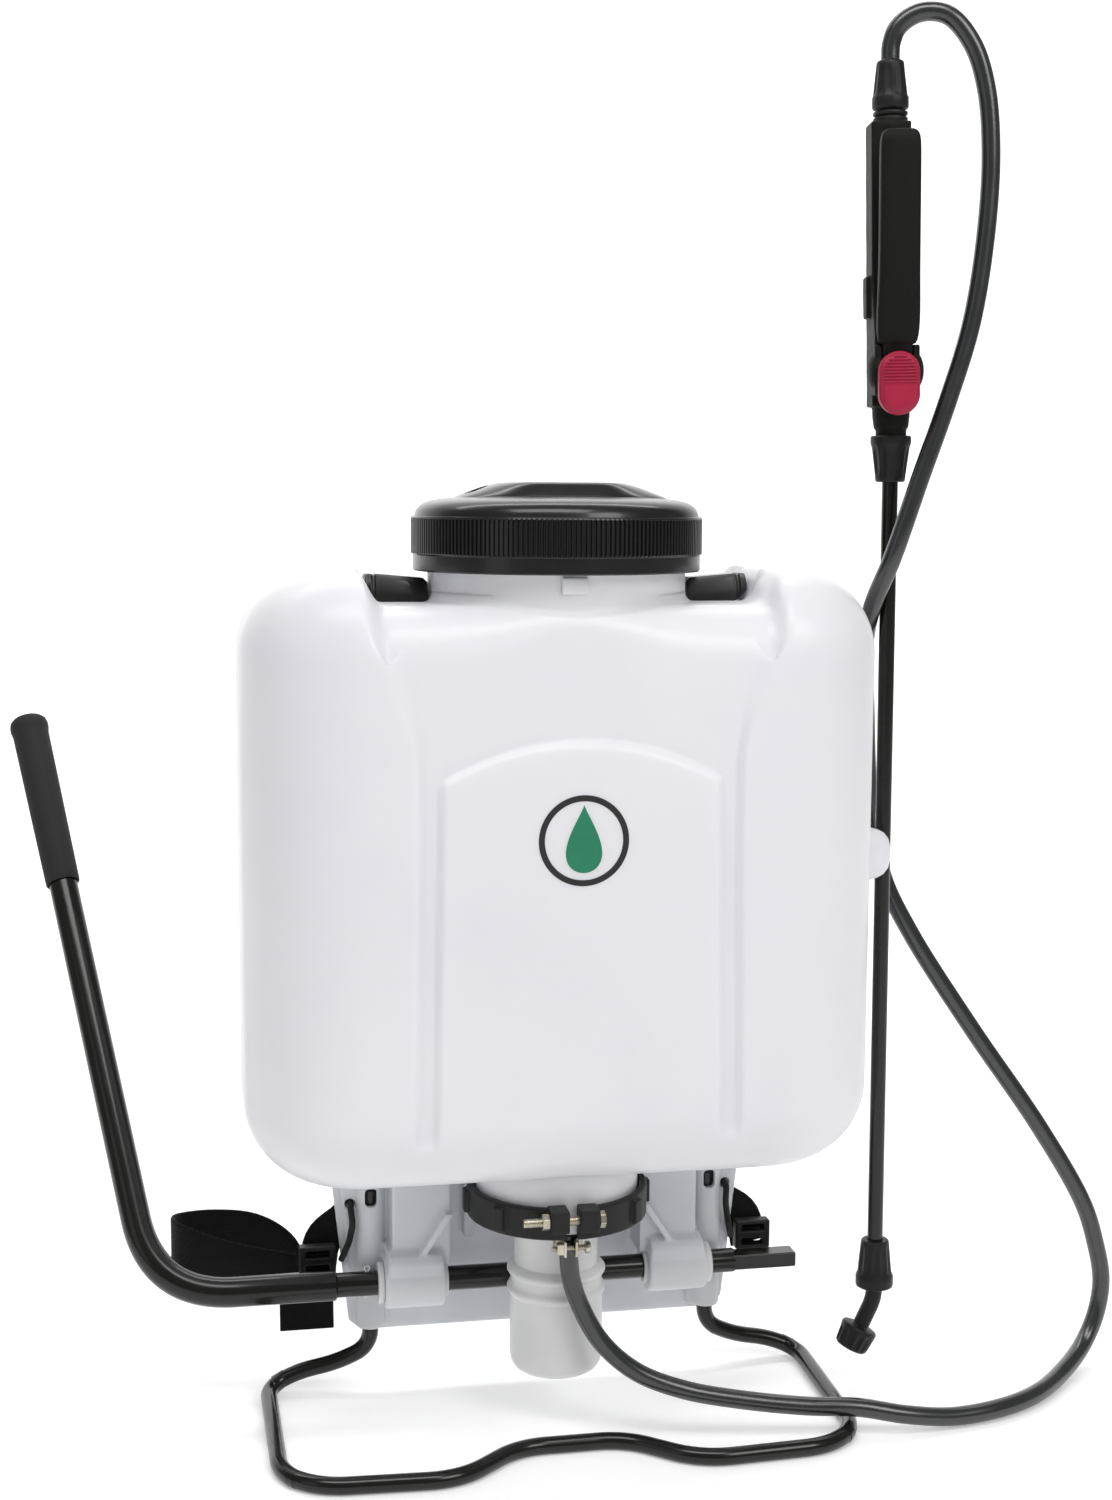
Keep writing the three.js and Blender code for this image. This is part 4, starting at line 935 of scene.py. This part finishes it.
def make_trigger():
    """A long flat paddle with rounded sides; it leans out from the handle towards its top."""
    stations = [(-16.6, -22.6, 48.2, 9.6), (-17, -24.3, 51, 11), (-17.6, -25.8, 56, 11.8),
                (-18.8, -28.2, 67, 12), (-20.2, -30.6, 82, 11.4), (-21.8, -32.4, 100, 11.2),
                (-23.2, -33.8, 125, 11.2), (-24.6, -35.2, 150, 11.2), (-25.2, -35.6, 157, 11),
                (-25.6, -35.2, 160.5, 10.3), (-26.4, -33.8, 162.6, 8.8), (-27.6, -32, 163.4, 6.5)]
    rings = []
    for back, front, z, half in stations:
        ring = superellipse(half, (front - back) / 2)
        rings.append([(x, (back + front) / 2 - y, z) for x, y in ring])
    paddle = Shape().rings(rings).moved(handle_place)
    trigger = piece("trigger_paddle", paddle, TRIGGER_BLACK, "trigger", ["trigger"], sharp=50)
    smooth = trigger.modifiers.new("smooth", "SUBSURF")
    smooth.levels = smooth.render_levels = 1
    stem = Shape().prism([(-26, 57), (-15, 57), (-11.8, 43), (-9.4, 39), (-8.9, 35), (-10.4, 31),
                          (-14, 29.4), (-20, 31), (-21.6, 46)], -8.3, 8.3, "x").moved(handle_place)
    soften(piece("trigger_stem", stem, TRIGGER_BLACK, "trigger"), 1.0, 3)


def make_lock():
    """The red slide: an oval button, ribbed for the thumb over its upper half."""
    middle = 28
    straight = 6

    def layer(half, y):
        return [(half * math.cos(a), y, middle + half * math.sin(a) + math.copysign(straight, math.sin(a)))
                for a in turns(64)]

    steps = [(11.4, -22.6), (11.4, -26.6), (11, -27.6), (10.3, -28), (10.1, -28.2), (9.9, -29.2),
             (9.2, -29.9), (8, -30.1), (4, -30.1), (0.2, -30.1)]
    shape = Shape().rings([layer(*step) for step in steps]).moved(handle_place)
    piece("lock_button", shape, RED, "trigger_lock", ["trigger_lock"], sharp=45)
    for k in range(9):
        z = middle + 0.5 + k * 1.75
        rise = max(z - middle - straight, 0)
        reach = math.sqrt(9.2 ** 2 - min(rise, 9) ** 2)
        path = [(-reach, -30, z), (1 - reach, -30.35, z), (reach - 1, -30.35, z), (reach, -30, z)]
        piece(f"lock_rib_{k + 1}", Shape().tube(path, 0.48, 10).moved(handle_place), RED, "trigger_lock")


# ---------------------------------------------------------------- base plate, bushes


def make_base():
    """The carrier: a back plate and shelf, two bosses for the shaft and two sleeves for the stand."""
    half = [(106, 34), (113, 40), (117, 75), (122, 120), (125, 149.4)]
    outline = half + [(-x, z) for x, z in reversed(half)]
    solids = [Shape().prism(outline, 46, 50, "y"), Shape().block(-112, 112, 36, 70, 144.4, 149.4)]
    tools = [rod(10.2, -120, 120, SHAFT, ALONG_X, 64)]
    for side in (-1, 1):
        solids += base_side(side)
        channel = [(0.02, 30), (7.2, 30), (7.2, 46), (5.1, 46), (5.1, 123), (0.02, 123)]
        tools += [
            Shape().turned(channel, (side * CHANNEL_X, CHANNEL_Y, 0), sides=32),
            notch(side),
            rod(3.2, 36, 60, (side * HOOK_X, 0, HOOK_Z), ALONG_Y),
        ]
    base = joined("base_carrier", solids, BASE_WHITE, replaced=["base_plate"], voxel=1.0, smooth=4,
                  cuts=tools)
    sharpen(base.data, 38)
    profile = [(7.3, 58), (9.4, 58), (10, 58.8), (10, 95), (11.8, 95.3), (11.8, 98), (11.2, 98.5),
               (7.3, 98.5)]
    for side, name in ((-1, "left"), (1, "right")):
        bush = Shape().turned(profile, SHAFT, (side, 0, 0), 56, closed=True)
        piece("bush_sleeve_" + name, bush, PUMP_WHITE, replaced=["shaft_bush_" + name])


def base_side(side):
    """One side's boss with its stem, block and rib, its gusset, post and sleeve, and the plate beside it."""
    def span(near, far):
        return (near, far) if side > 0 else (-far, -near)

    def facing(points):
        return [(side * x, z) for x, z in points]

    low, high = span(60, 95)
    boss = [(0.02, low), (14, low), (15, low + 1.2), (15, high - 1.2), (14, high), (0.02, high)]
    stem = [(SHAFT_Y, SHAFT_Z), (9.6, SHAFT_Z + 8), (10.6, SHAFT_Z + 14), (14, SHAFT_Z + 17.5),
            (20, SHAFT_Z + 19), (48, SHAFT_Z + 19), (48, SHAFT_Z)]
    sleeve = [(0.02, 39), (8, 39), (8.6, 39.8), (8.6, 148.4), (0.02, 148.4)]
    plate = [(90, 38), (106, 38), (113, 75), (118, 120), (120, 147.4), (90, 147.4)]
    return [
        Shape().turned(boss, SHAFT, ALONG_X, 56),
        Shape().prism(stem, *span(61, 93), "x"),
        Shape().block(low, high, SHAFT_Y, 48, SHAFT_Z - 13, SHAFT_Z + 13),
        Shape().block(*span(56, 90), 20, 48, SHAFT_Z + 8, 148.4),
        Shape().prism(facing([(74, 84), (78, 84), (60, 112), (55, 112)]), 14, 40, "y"),
        Shape().block(*span(40, 46), 36, 48, 90, 149),
        Shape().turned(sleeve, (side * CHANNEL_X, CHANNEL_Y, 0), sides=40),
        Shape().prism(facing(plate), 40, 48, "y"),
    ]


def notch(side):
    """The slot through a sleeve's front that shows the stand's end."""
    x = side * CHANNEL_X
    corners = [(x - 3.5, 113), (x + 3.5, 113), (x + 3.5, 124), (x - 3.5, 124)]
    return Shape().prism(rounded_polygon(corners, 3), 20, 41, "y")


# ---------------------------------------------------------------- pump and its clamps


def make_pump():
    """The pump's cup under its flange, hollow, with the lever's opening in its back."""
    outside = [(0.02, 29), (19, 29), (21.8, 29.5), (23.9, 31), (25.5, 33.6), (26.3, 37.6), (26.3, 73),
               (26.8, 74), (27.6, 74.8), (27.9, 75.6), (27.9, 76.8), (27.4, 77.8), (26.4, 78.8), (26, 79.6),
               (26, 84.2), (26.4, 85), (27.4, 85.9), (27.9, 86.7), (27.9, 87.9), (27.2, 88.9), (24.6, 90.5),
               (23.7, 91.6), (23.7, 121.2), (24.6, 122), (45, 122), (45.7, 122.8), (45.7, 128.4),
               (45.2, 129), (27, 129), (24, 131), (24, 156), (0.02, 156)]
    shape = Shape().turned(outside, (0, PUMP_Y, 0), sides=112)
    body = piece("pump_cup", shape, PUMP_WHITE, replaced=["pump_housing"], sharp=40)
    subtract(body, Shape().turned([(0.02, 33), (16, 33), (22.5, 39), (22.5, 90), (20.3, 94), (20.3, 152),
                                   (0.02, 152)], (0, PUMP_Y, 0), sides=64))
    subtract(body, Shape().block(-10, 10, 0, 30, 44, 101))
    sharpen(body.data, 38)


def make_clamp_ring():
    """A ring split at the front, with a ribbed outside and two lugs for its bolt."""
    steps = 120
    gap = math.radians(3.6)
    section = [(46.9, 120.6), (50.4, 120.6), (51, 121.3), (51, 137.8), (50.4, 138.5), (46.9, 138.5)]
    rings = []
    for k in range(steps + 1):
        a = math.radians(-90.9) + gap + (2 * math.pi - 2 * gap) * k / steps
        rings.append([(r * math.cos(a), PUMP_Y + r * math.sin(a), z) for r, z in section])
    solids = [Shape().rings(rings)]
    corners = [(49, -3.5), (53.5, -3.5), (53.5, 3.5), (49, 3.5)]
    for turn in (0, 45, 90, 135, 180, 222, 318):
        a = math.radians(turn)
        c, s = math.cos(a), math.sin(a)
        solids.append(Shape().prism([(u * c - v * s, PUMP_Y + u * s + v * c) for u, v in corners], 123, 136))
    solids += [Shape().block(x0, x1, -71, -58, 127.5, 140) for x0, x1 in ((-14, -3.8), (2.2, 13))]
    joined("clamp_ring", solids, MOULDED_BLACK, replaced=["pump_clamp_ring"], voxel=0.6, smooth=3,
           cuts=[rod(2.8, -60, 60, (0, BOLT_Y, BOLT_Z), ALONG_X)])


def hexagon(radius, y, z, phase=0.0):
    angles = [math.pi / 3 * k + phase for k in range(6)]
    return [(y + radius * math.cos(a), z + radius * math.sin(a)) for a in angles]


def threaded(name, start, end, y, z, radius, pitch, replaced):
    """A bolt's shank along X with a fine thread on it."""
    count = int((end - start) / pitch * 4)
    profile = [(0.02, start), (radius - 0.5, start), (radius - 0.1, start + 0.5)]
    for k in range(count):
        along = start + 0.7 + (end - start - 1) * k / count
        profile.append((radius - (0.32 if k % 4 in (0, 1) else 0.0), along))
    profile += [(radius, end), (0.02, end)]
    shape = Shape().turned(profile, (0, y, z), ALONG_X, 28)
    piece(name, shape, ZINC, replaced=replaced, sharp=30)


def make_clamp_bolt():
    threaded("bolt_shank", -28.5, 14, BOLT_Y, BOLT_Z, 2.5, 0.9, ["clamp_bolt"])
    head = Shape().prism(hexagon(4.7, BOLT_Y, BOLT_Z, 0.2), 13.3, 16.5, "x")
    soften(piece("bolt_head", head, ZINC), 0.4, 2)
    nut = Shape().prism(hexagon(4.7, BOLT_Y, BOLT_Z, 0.5), -18.3, -14.3, "x")
    soften(piece("bolt_nut", nut, ZINC, replaced=["clamp_nut"]), 0.4, 2)


def make_hose_end():
    """The stub under the pump's flange and the screwed band that grips the hose on it."""
    x, y = HOSE_EXIT
    stub = Shape().turned([(0.02, 119.4), (5.8, 119.4), (6.6, 120.2), (6.6, 121.7), (0.02, 121.7)],
                          (x, y, 0), sides=48)
    piece("barb_socket", stub, MOULDED_BLACK, replaced=["hose_barb"], sharp=40)
    low, high = 110.4, 119
    gap = 44  # degrees left open at the front
    angles = [math.radians(-90 + gap / 2 + (360 - gap) * k / 48) for k in range(49)]
    section = [(6.9, low), (7.9, low), (8.1, low + 0.3), (8.1, high - 0.3), (7.9, high), (6.9, high)]
    band = Shape().rings([[(x + r * math.cos(a), y + r * math.sin(a), z) for r, z in section]
                          for a in angles])
    piece("clamp_band", band, ZINC, replaced=["hose_clamp_band"], sharp=40)
    for name, near, far in (("left", -4.2, -2.8), ("right", 2, 3.4)):
        ear = Shape().block(x + near, x + far, y - 13, y - 6.6, low, high)
        soften(piece("clamp_ear_" + name, ear, ZINC), 0.35, 2)
    screw_y, screw_z = y - 9.6, (low + high) / 2
    nut = Shape().block(x - 8, x - 4, y - 12.4, y - 6.8, screw_z - 3, screw_z + 3)
    soften(piece("clamp_square_nut", nut, ZINC), 0.4, 2)
    threaded("hose_screw_shank", -11.2, 8, screw_y, screw_z, 1.6, 0.8, ["hose_clamp_screw"])
    head = Shape().turned([(0.02, 7.4), (3.2, 7.4), (3.4, 7.8), (3.4, 9.5), (2.8, 10.2), (0.02, 10.2)],
                          (0, screw_y, screw_z), ALONG_X, 32)
    piece("hose_screw_head", head, ZINC, sharp=40)


# ---------------------------------------------------------------- straps


WEB_THICKNESS = 2
WEB_STEP = 2.5


def ribbon(route, width, wide):
    """Flat webbing along a smooth route: its shape and its length. Its width runs in the direction wide."""
    path = smooth_route(route, 12)
    p = [path[0]]
    for q in path[1:]:
        if (q - p[-1]).length > WEB_STEP or q is path[-1]:
            p.append(q)
    half_section = [(-1, 0), (-0.985, 0.5), (-0.95, 0.85), (-0.86, 1), (-0.5, 1), (0, 1), (0.5, 1), (0.86, 1),
                    (0.95, 0.85), (0.985, 0.5)]
    section = half_section + [(-u, -v) for u, v in half_section]
    rings = []
    for i, q in enumerate(p):
        t = (p[min(i + 1, len(p) - 1)] - p[max(i - 1, 0)]).normalized()
        w = Vector(wide)
        w = (w - t * w.dot(t)).normalized()
        n = t.cross(w)
        rings.append([q + w * u * (width / 2) + n * v * WEB_THICKNESS / 2 for u, v in section])
    length = sum((b - a).length for a, b in zip(p, p[1:]))
    return Shape().rings(rings), length


def webbing(name, route, width, wide, replaced):
    """A length of webbing along a route."""
    shape, length = ribbon(route, width, wide)
    web = piece(name, shape, WEBBING, replaced=[replaced])


def mirrored(route, side):
    return [(side * x, y, z) for x, y, z in route]


PAD_Y = 93  # the middle of the pads, behind the tank's back
OVER_SHOULDER = [(8.4, 470.5), (36, 470), (58, 469.4), (71, 468), (79, 463), (86, 452), (92, 434),
                 (PAD_Y, 412), (PAD_Y, 392.3)]


def make_straps():
    """The webbing over the shoulders and below the pads, and the left strap's loose loop and tail."""
    for side, name in ((-1, "left"), (1, "right")):
        over = [(side * STRAP_X, y, z) for y, z in OVER_SHOULDER]
        webbing("shoulder_webbing_" + name, over, 30, ALONG_X, "shoulder_strap_" + name)
        under = mirrored([(STRAP_X, PAD_Y, 189.7), (89, 88, 160), (92, 78, 135), (99, 68, 115),
                          (112, 58, 99), (127, 53, 88), (131, 51.2, 71)], side)
        webbing("lower_webbing_" + name, under, 22, ALONG_X, "lower_strap_" + name)
        make_pad(side, name)
        make_buckle(side, name)
        make_anchor(side, name)
        make_hook(side, name)
    loop = [(-133, 60, 61), (-150, 60, 65), (-172, 61, 70), (-193, 64, 76), (-210, 71, 82), (-214, 82, 83),
            (-208, 94, 81), (-190, 99, 80), (-168, 98, 77), (-152, 94, 68), (-143, 88, 55)]
    webbing("strap_loop_webbing", loop, 27, (0, 0.12, 1), "strap_loop_left")
    tail = [(-136, 70, 70), (-136, 71, 50), (-136, 69, 27)]
    webbing("strap_tail_webbing", tail, 32, ALONG_X, "strap_tail_left")


PAD_QUILTS = 5


def pad_half_thickness(u, v, height_share):
    """Half the pad's thickness at a share of its width and height: a crown quilted by rows of stitching."""
    edge = min(u, 1 - u, min(v, 1 - v) * height_share)
    crown = 1 - (1 - min(edge / 0.28, 1)) ** 2.4
    quilt = 0.55 + 0.45 * smoothstep(abs(math.sin(math.pi * (v * PAD_QUILTS))), 0.0, 0.35)
    binding = 0.5 * smoothstep(edge, 0.03, 0.06) * (1 - smoothstep(edge, 0.06, 0.1))
    return max(1.6 + 3.9 * crown * quilt - binding, 0.5)


def make_pad(side, name):
    """A thin shoulder pad, narrower in the middle and crowned between its bound edges."""
    nx, nz = 30, 96
    x0, x1, z0, z1 = 59.5, 116.5, 190.5, 391.5
    front, back = [], []
    for j in range(nz + 1):
        v = j / nz
        z = z0 + (z1 - z0) * v
        narrow = 1 - 0.10 * math.sin(math.pi * v) ** 2
        for i in range(nx + 1):
            u = i / nx
            x = side * (STRAP_X + (u - 0.5) * (x1 - x0) * narrow)
            half = pad_half_thickness(u, v, (z1 - z0) / (x1 - x0))
            front.append((x, PAD_Y - half, z))
            back.append((x, PAD_Y + half, z))
    row, offset = nx + 1, len(front)
    faces = []
    for j in range(nz):
        for i in range(nx):
            a = j * row + i
            faces.append((a, a + 1, a + 1 + row, a + row))
            faces.append((offset + a, offset + a + row, offset + a + 1 + row, offset + a + 1))
    corner = nz * row
    rim = [*range(nx), *range(nx, corner, row), *range(corner + nx, corner, -1), *range(corner, 0, -row)]
    for a, b in zip(rim, rim[1:] + rim[:1]):
        faces.append((a, offset + a, offset + b, b))
    pad = piece("shoulder_pad_soft_" + name, Shape(front + back, faces), PAD,
                replaced=["shoulder_pad_" + name], sharp=80)


def make_buckle(side, name):
    """A ladder buckle: a block with two slots."""
    near, far = (120.5, 142) if side > 0 else (-142, -120.5)
    block = Shape().block(near, far, 41, 49, 70, 87.5)
    buckle = piece("buckle_frame_" + name, block, MOULDED_BLACK, replaced=["strap_buckle_" + name])
    for z in (74.5, 83):
        subtract(buckle, Shape().block(near + 4, far - 4, 30, 60, z - 1.9, z + 1.9))
    soften(buckle, 1.3, 3)


def make_anchor(side, name):
    """The anchor over a shoulder strap's end: a tapered bar with a sloping front and a grooved end."""
    stations = [(72.2, 465, 475.5, 0), (74.5, 464, 477.8, 0), (98, 464.5, 479.8, 0), (100.5, 465.5, 480, 0),
                (101, 465.8, 480, 0.8), (102.2, 466.5, 480.1, 0.8), (102.7, 467, 480.1, 0),
                (105.6, 470, 479.9, 0), (106.3, 471, 479.2, 0.5)]
    rings = []
    for x, foot, top, shrink in stations:
        front, crest = -10 + shrink, top - shrink
        middle = foot + 0.45 * (top - foot)
        section = [(front, foot), (front, middle), (front + 4, crest), (8, crest), (8, foot)]
        rings.append([(side * x, y, z) for y, z in section])
    anchor = piece("anchor_bar_" + name, Shape().rings(rings), CAP_GLOSS, replaced=["strap_anchor_" + name])
    soften(anchor, 0.7, 3)


def make_hook(side, name):
    """The strap's hook on the base plate and the head of its screw."""
    route = [(HOOK_X, 52, HOOK_Z), (HOOK_X, 35, HOOK_Z), (HOOK_X - 1, 33, 103), (HOOK_X + 1, 35, 92),
             (HOOK_X + 5, 42, 79)]
    shape = Shape().tube(dense(bent(mirrored(route, side), [3, 3, 3]), 2), 1.9, 20)
    piece("hook_wire_" + name, shape, MOULDED_BLACK, replaced=["strap_hook_" + name], sharp=60)
    head = Shape().turned([(0.02, 51), (4.6, 51), (4.6, 52.6), (3.6, 53.5), (0.02, 53.5)],
                          (side * HOOK_X, 0, HOOK_Z), ALONG_Y, 32)
    piece("hook_head_" + name, head, MOULDED_BLACK, sharp=40)


# ---------------------------------------------------------------- stage


def make_floor():
    """A white sweep: the floor, which bends up into a wall behind the object."""
    material = surface("floor", (0.86, 0.86, 0.86), 0.6, second=(0.88, 0.88, 0.88), spot_scale=2, bump=0)
    shader = material.node_tree.nodes["Principled BSDF"]
    shader.inputs["Emission Color"].default_value = (1, 1, 1, 1)
    shader.inputs["Emission Strength"].default_value = 0.3
    bend = [(1.6 + 0.9 * math.sin(a), 0.9 - 0.9 * math.cos(a)) for a in np.linspace(0.1, 1.57, 14)]
    shape = [(-3, 0), (1.6, 0), *bend, (2.5, 4)]
    mesh = bpy.data.meshes.new("floor")
    points = [(x, y, z - 0.0004) for y, z in shape for x in (-4, 4)]
    faces = [(2 * i, 2 * i + 1, 2 * i + 3, 2 * i + 2) for i in range(len(shape) - 1)]
    mesh.from_pydata(points, [], faces)
    mesh.polygons.foreach_set("use_smooth", [True] * len(mesh.polygons))
    mesh.materials.append(material)
    floor = bpy.data.objects.new("floor", mesh)
    bpy.context.scene.collection.objects.link(floor)


def area_light(name, place, target, size, power, color=(1, 1, 1)):
    data = bpy.data.lights.new(name, "AREA")
    data.shape = "RECTANGLE"
    data.size, data.size_y = size
    data.energy = power
    data.color = color
    light = bpy.data.objects.new(name, data)
    light.location = place
    light.rotation_euler = (Vector(target) - Vector(place)).to_track_quat("-Z", "Y").to_euler()
    bpy.context.scene.collection.objects.link(light)


def make_lights():
    bpy.context.scene.view_settings.view_transform = "Standard"
    world = bpy.data.worlds.new("studio")
    world.use_nodes = True
    world.node_tree.nodes["Background"].inputs["Color"].default_value = (1, 1, 1, 1)
    world.node_tree.nodes["Background"].inputs["Strength"].default_value = 0.24
    bpy.context.scene.world = world
    middle = (0, 0, 0.35)
    area_light("key_right", (1.0, -1.6, 1.6), middle, (0.9, 0.9), 14, (1.0, 0.995, 0.985))
    area_light("fill_left", (-1.7, -1.2, 0.9), middle, (0.8, 1.2), 1.5, (0.97, 0.98, 1.0))
    area_light("top", (-0.2, -0.8, 1.9), middle, (1.4, 0.6), 15)
    area_light("backdrop", (0.0, 1.0, 2.2), (0, 2.2, 0.6), (3.0, 0.8), 48)


# ---------------------------------------------------------------- everything, in order

make_camera()
finish_cad_nodes()
make_hose(HOSE)
make_tank()
make_tank_fittings()
make_emblem()
make_cap()
make_stand()
make_lever()
make_shaft()
make_cotter()
make_wand()
make_handle()
make_trigger()
make_lock()
make_base()
make_pump()
make_clamp_ring()
make_clamp_bolt()
make_hose_end()
make_straps()
make_floor()
make_lights()
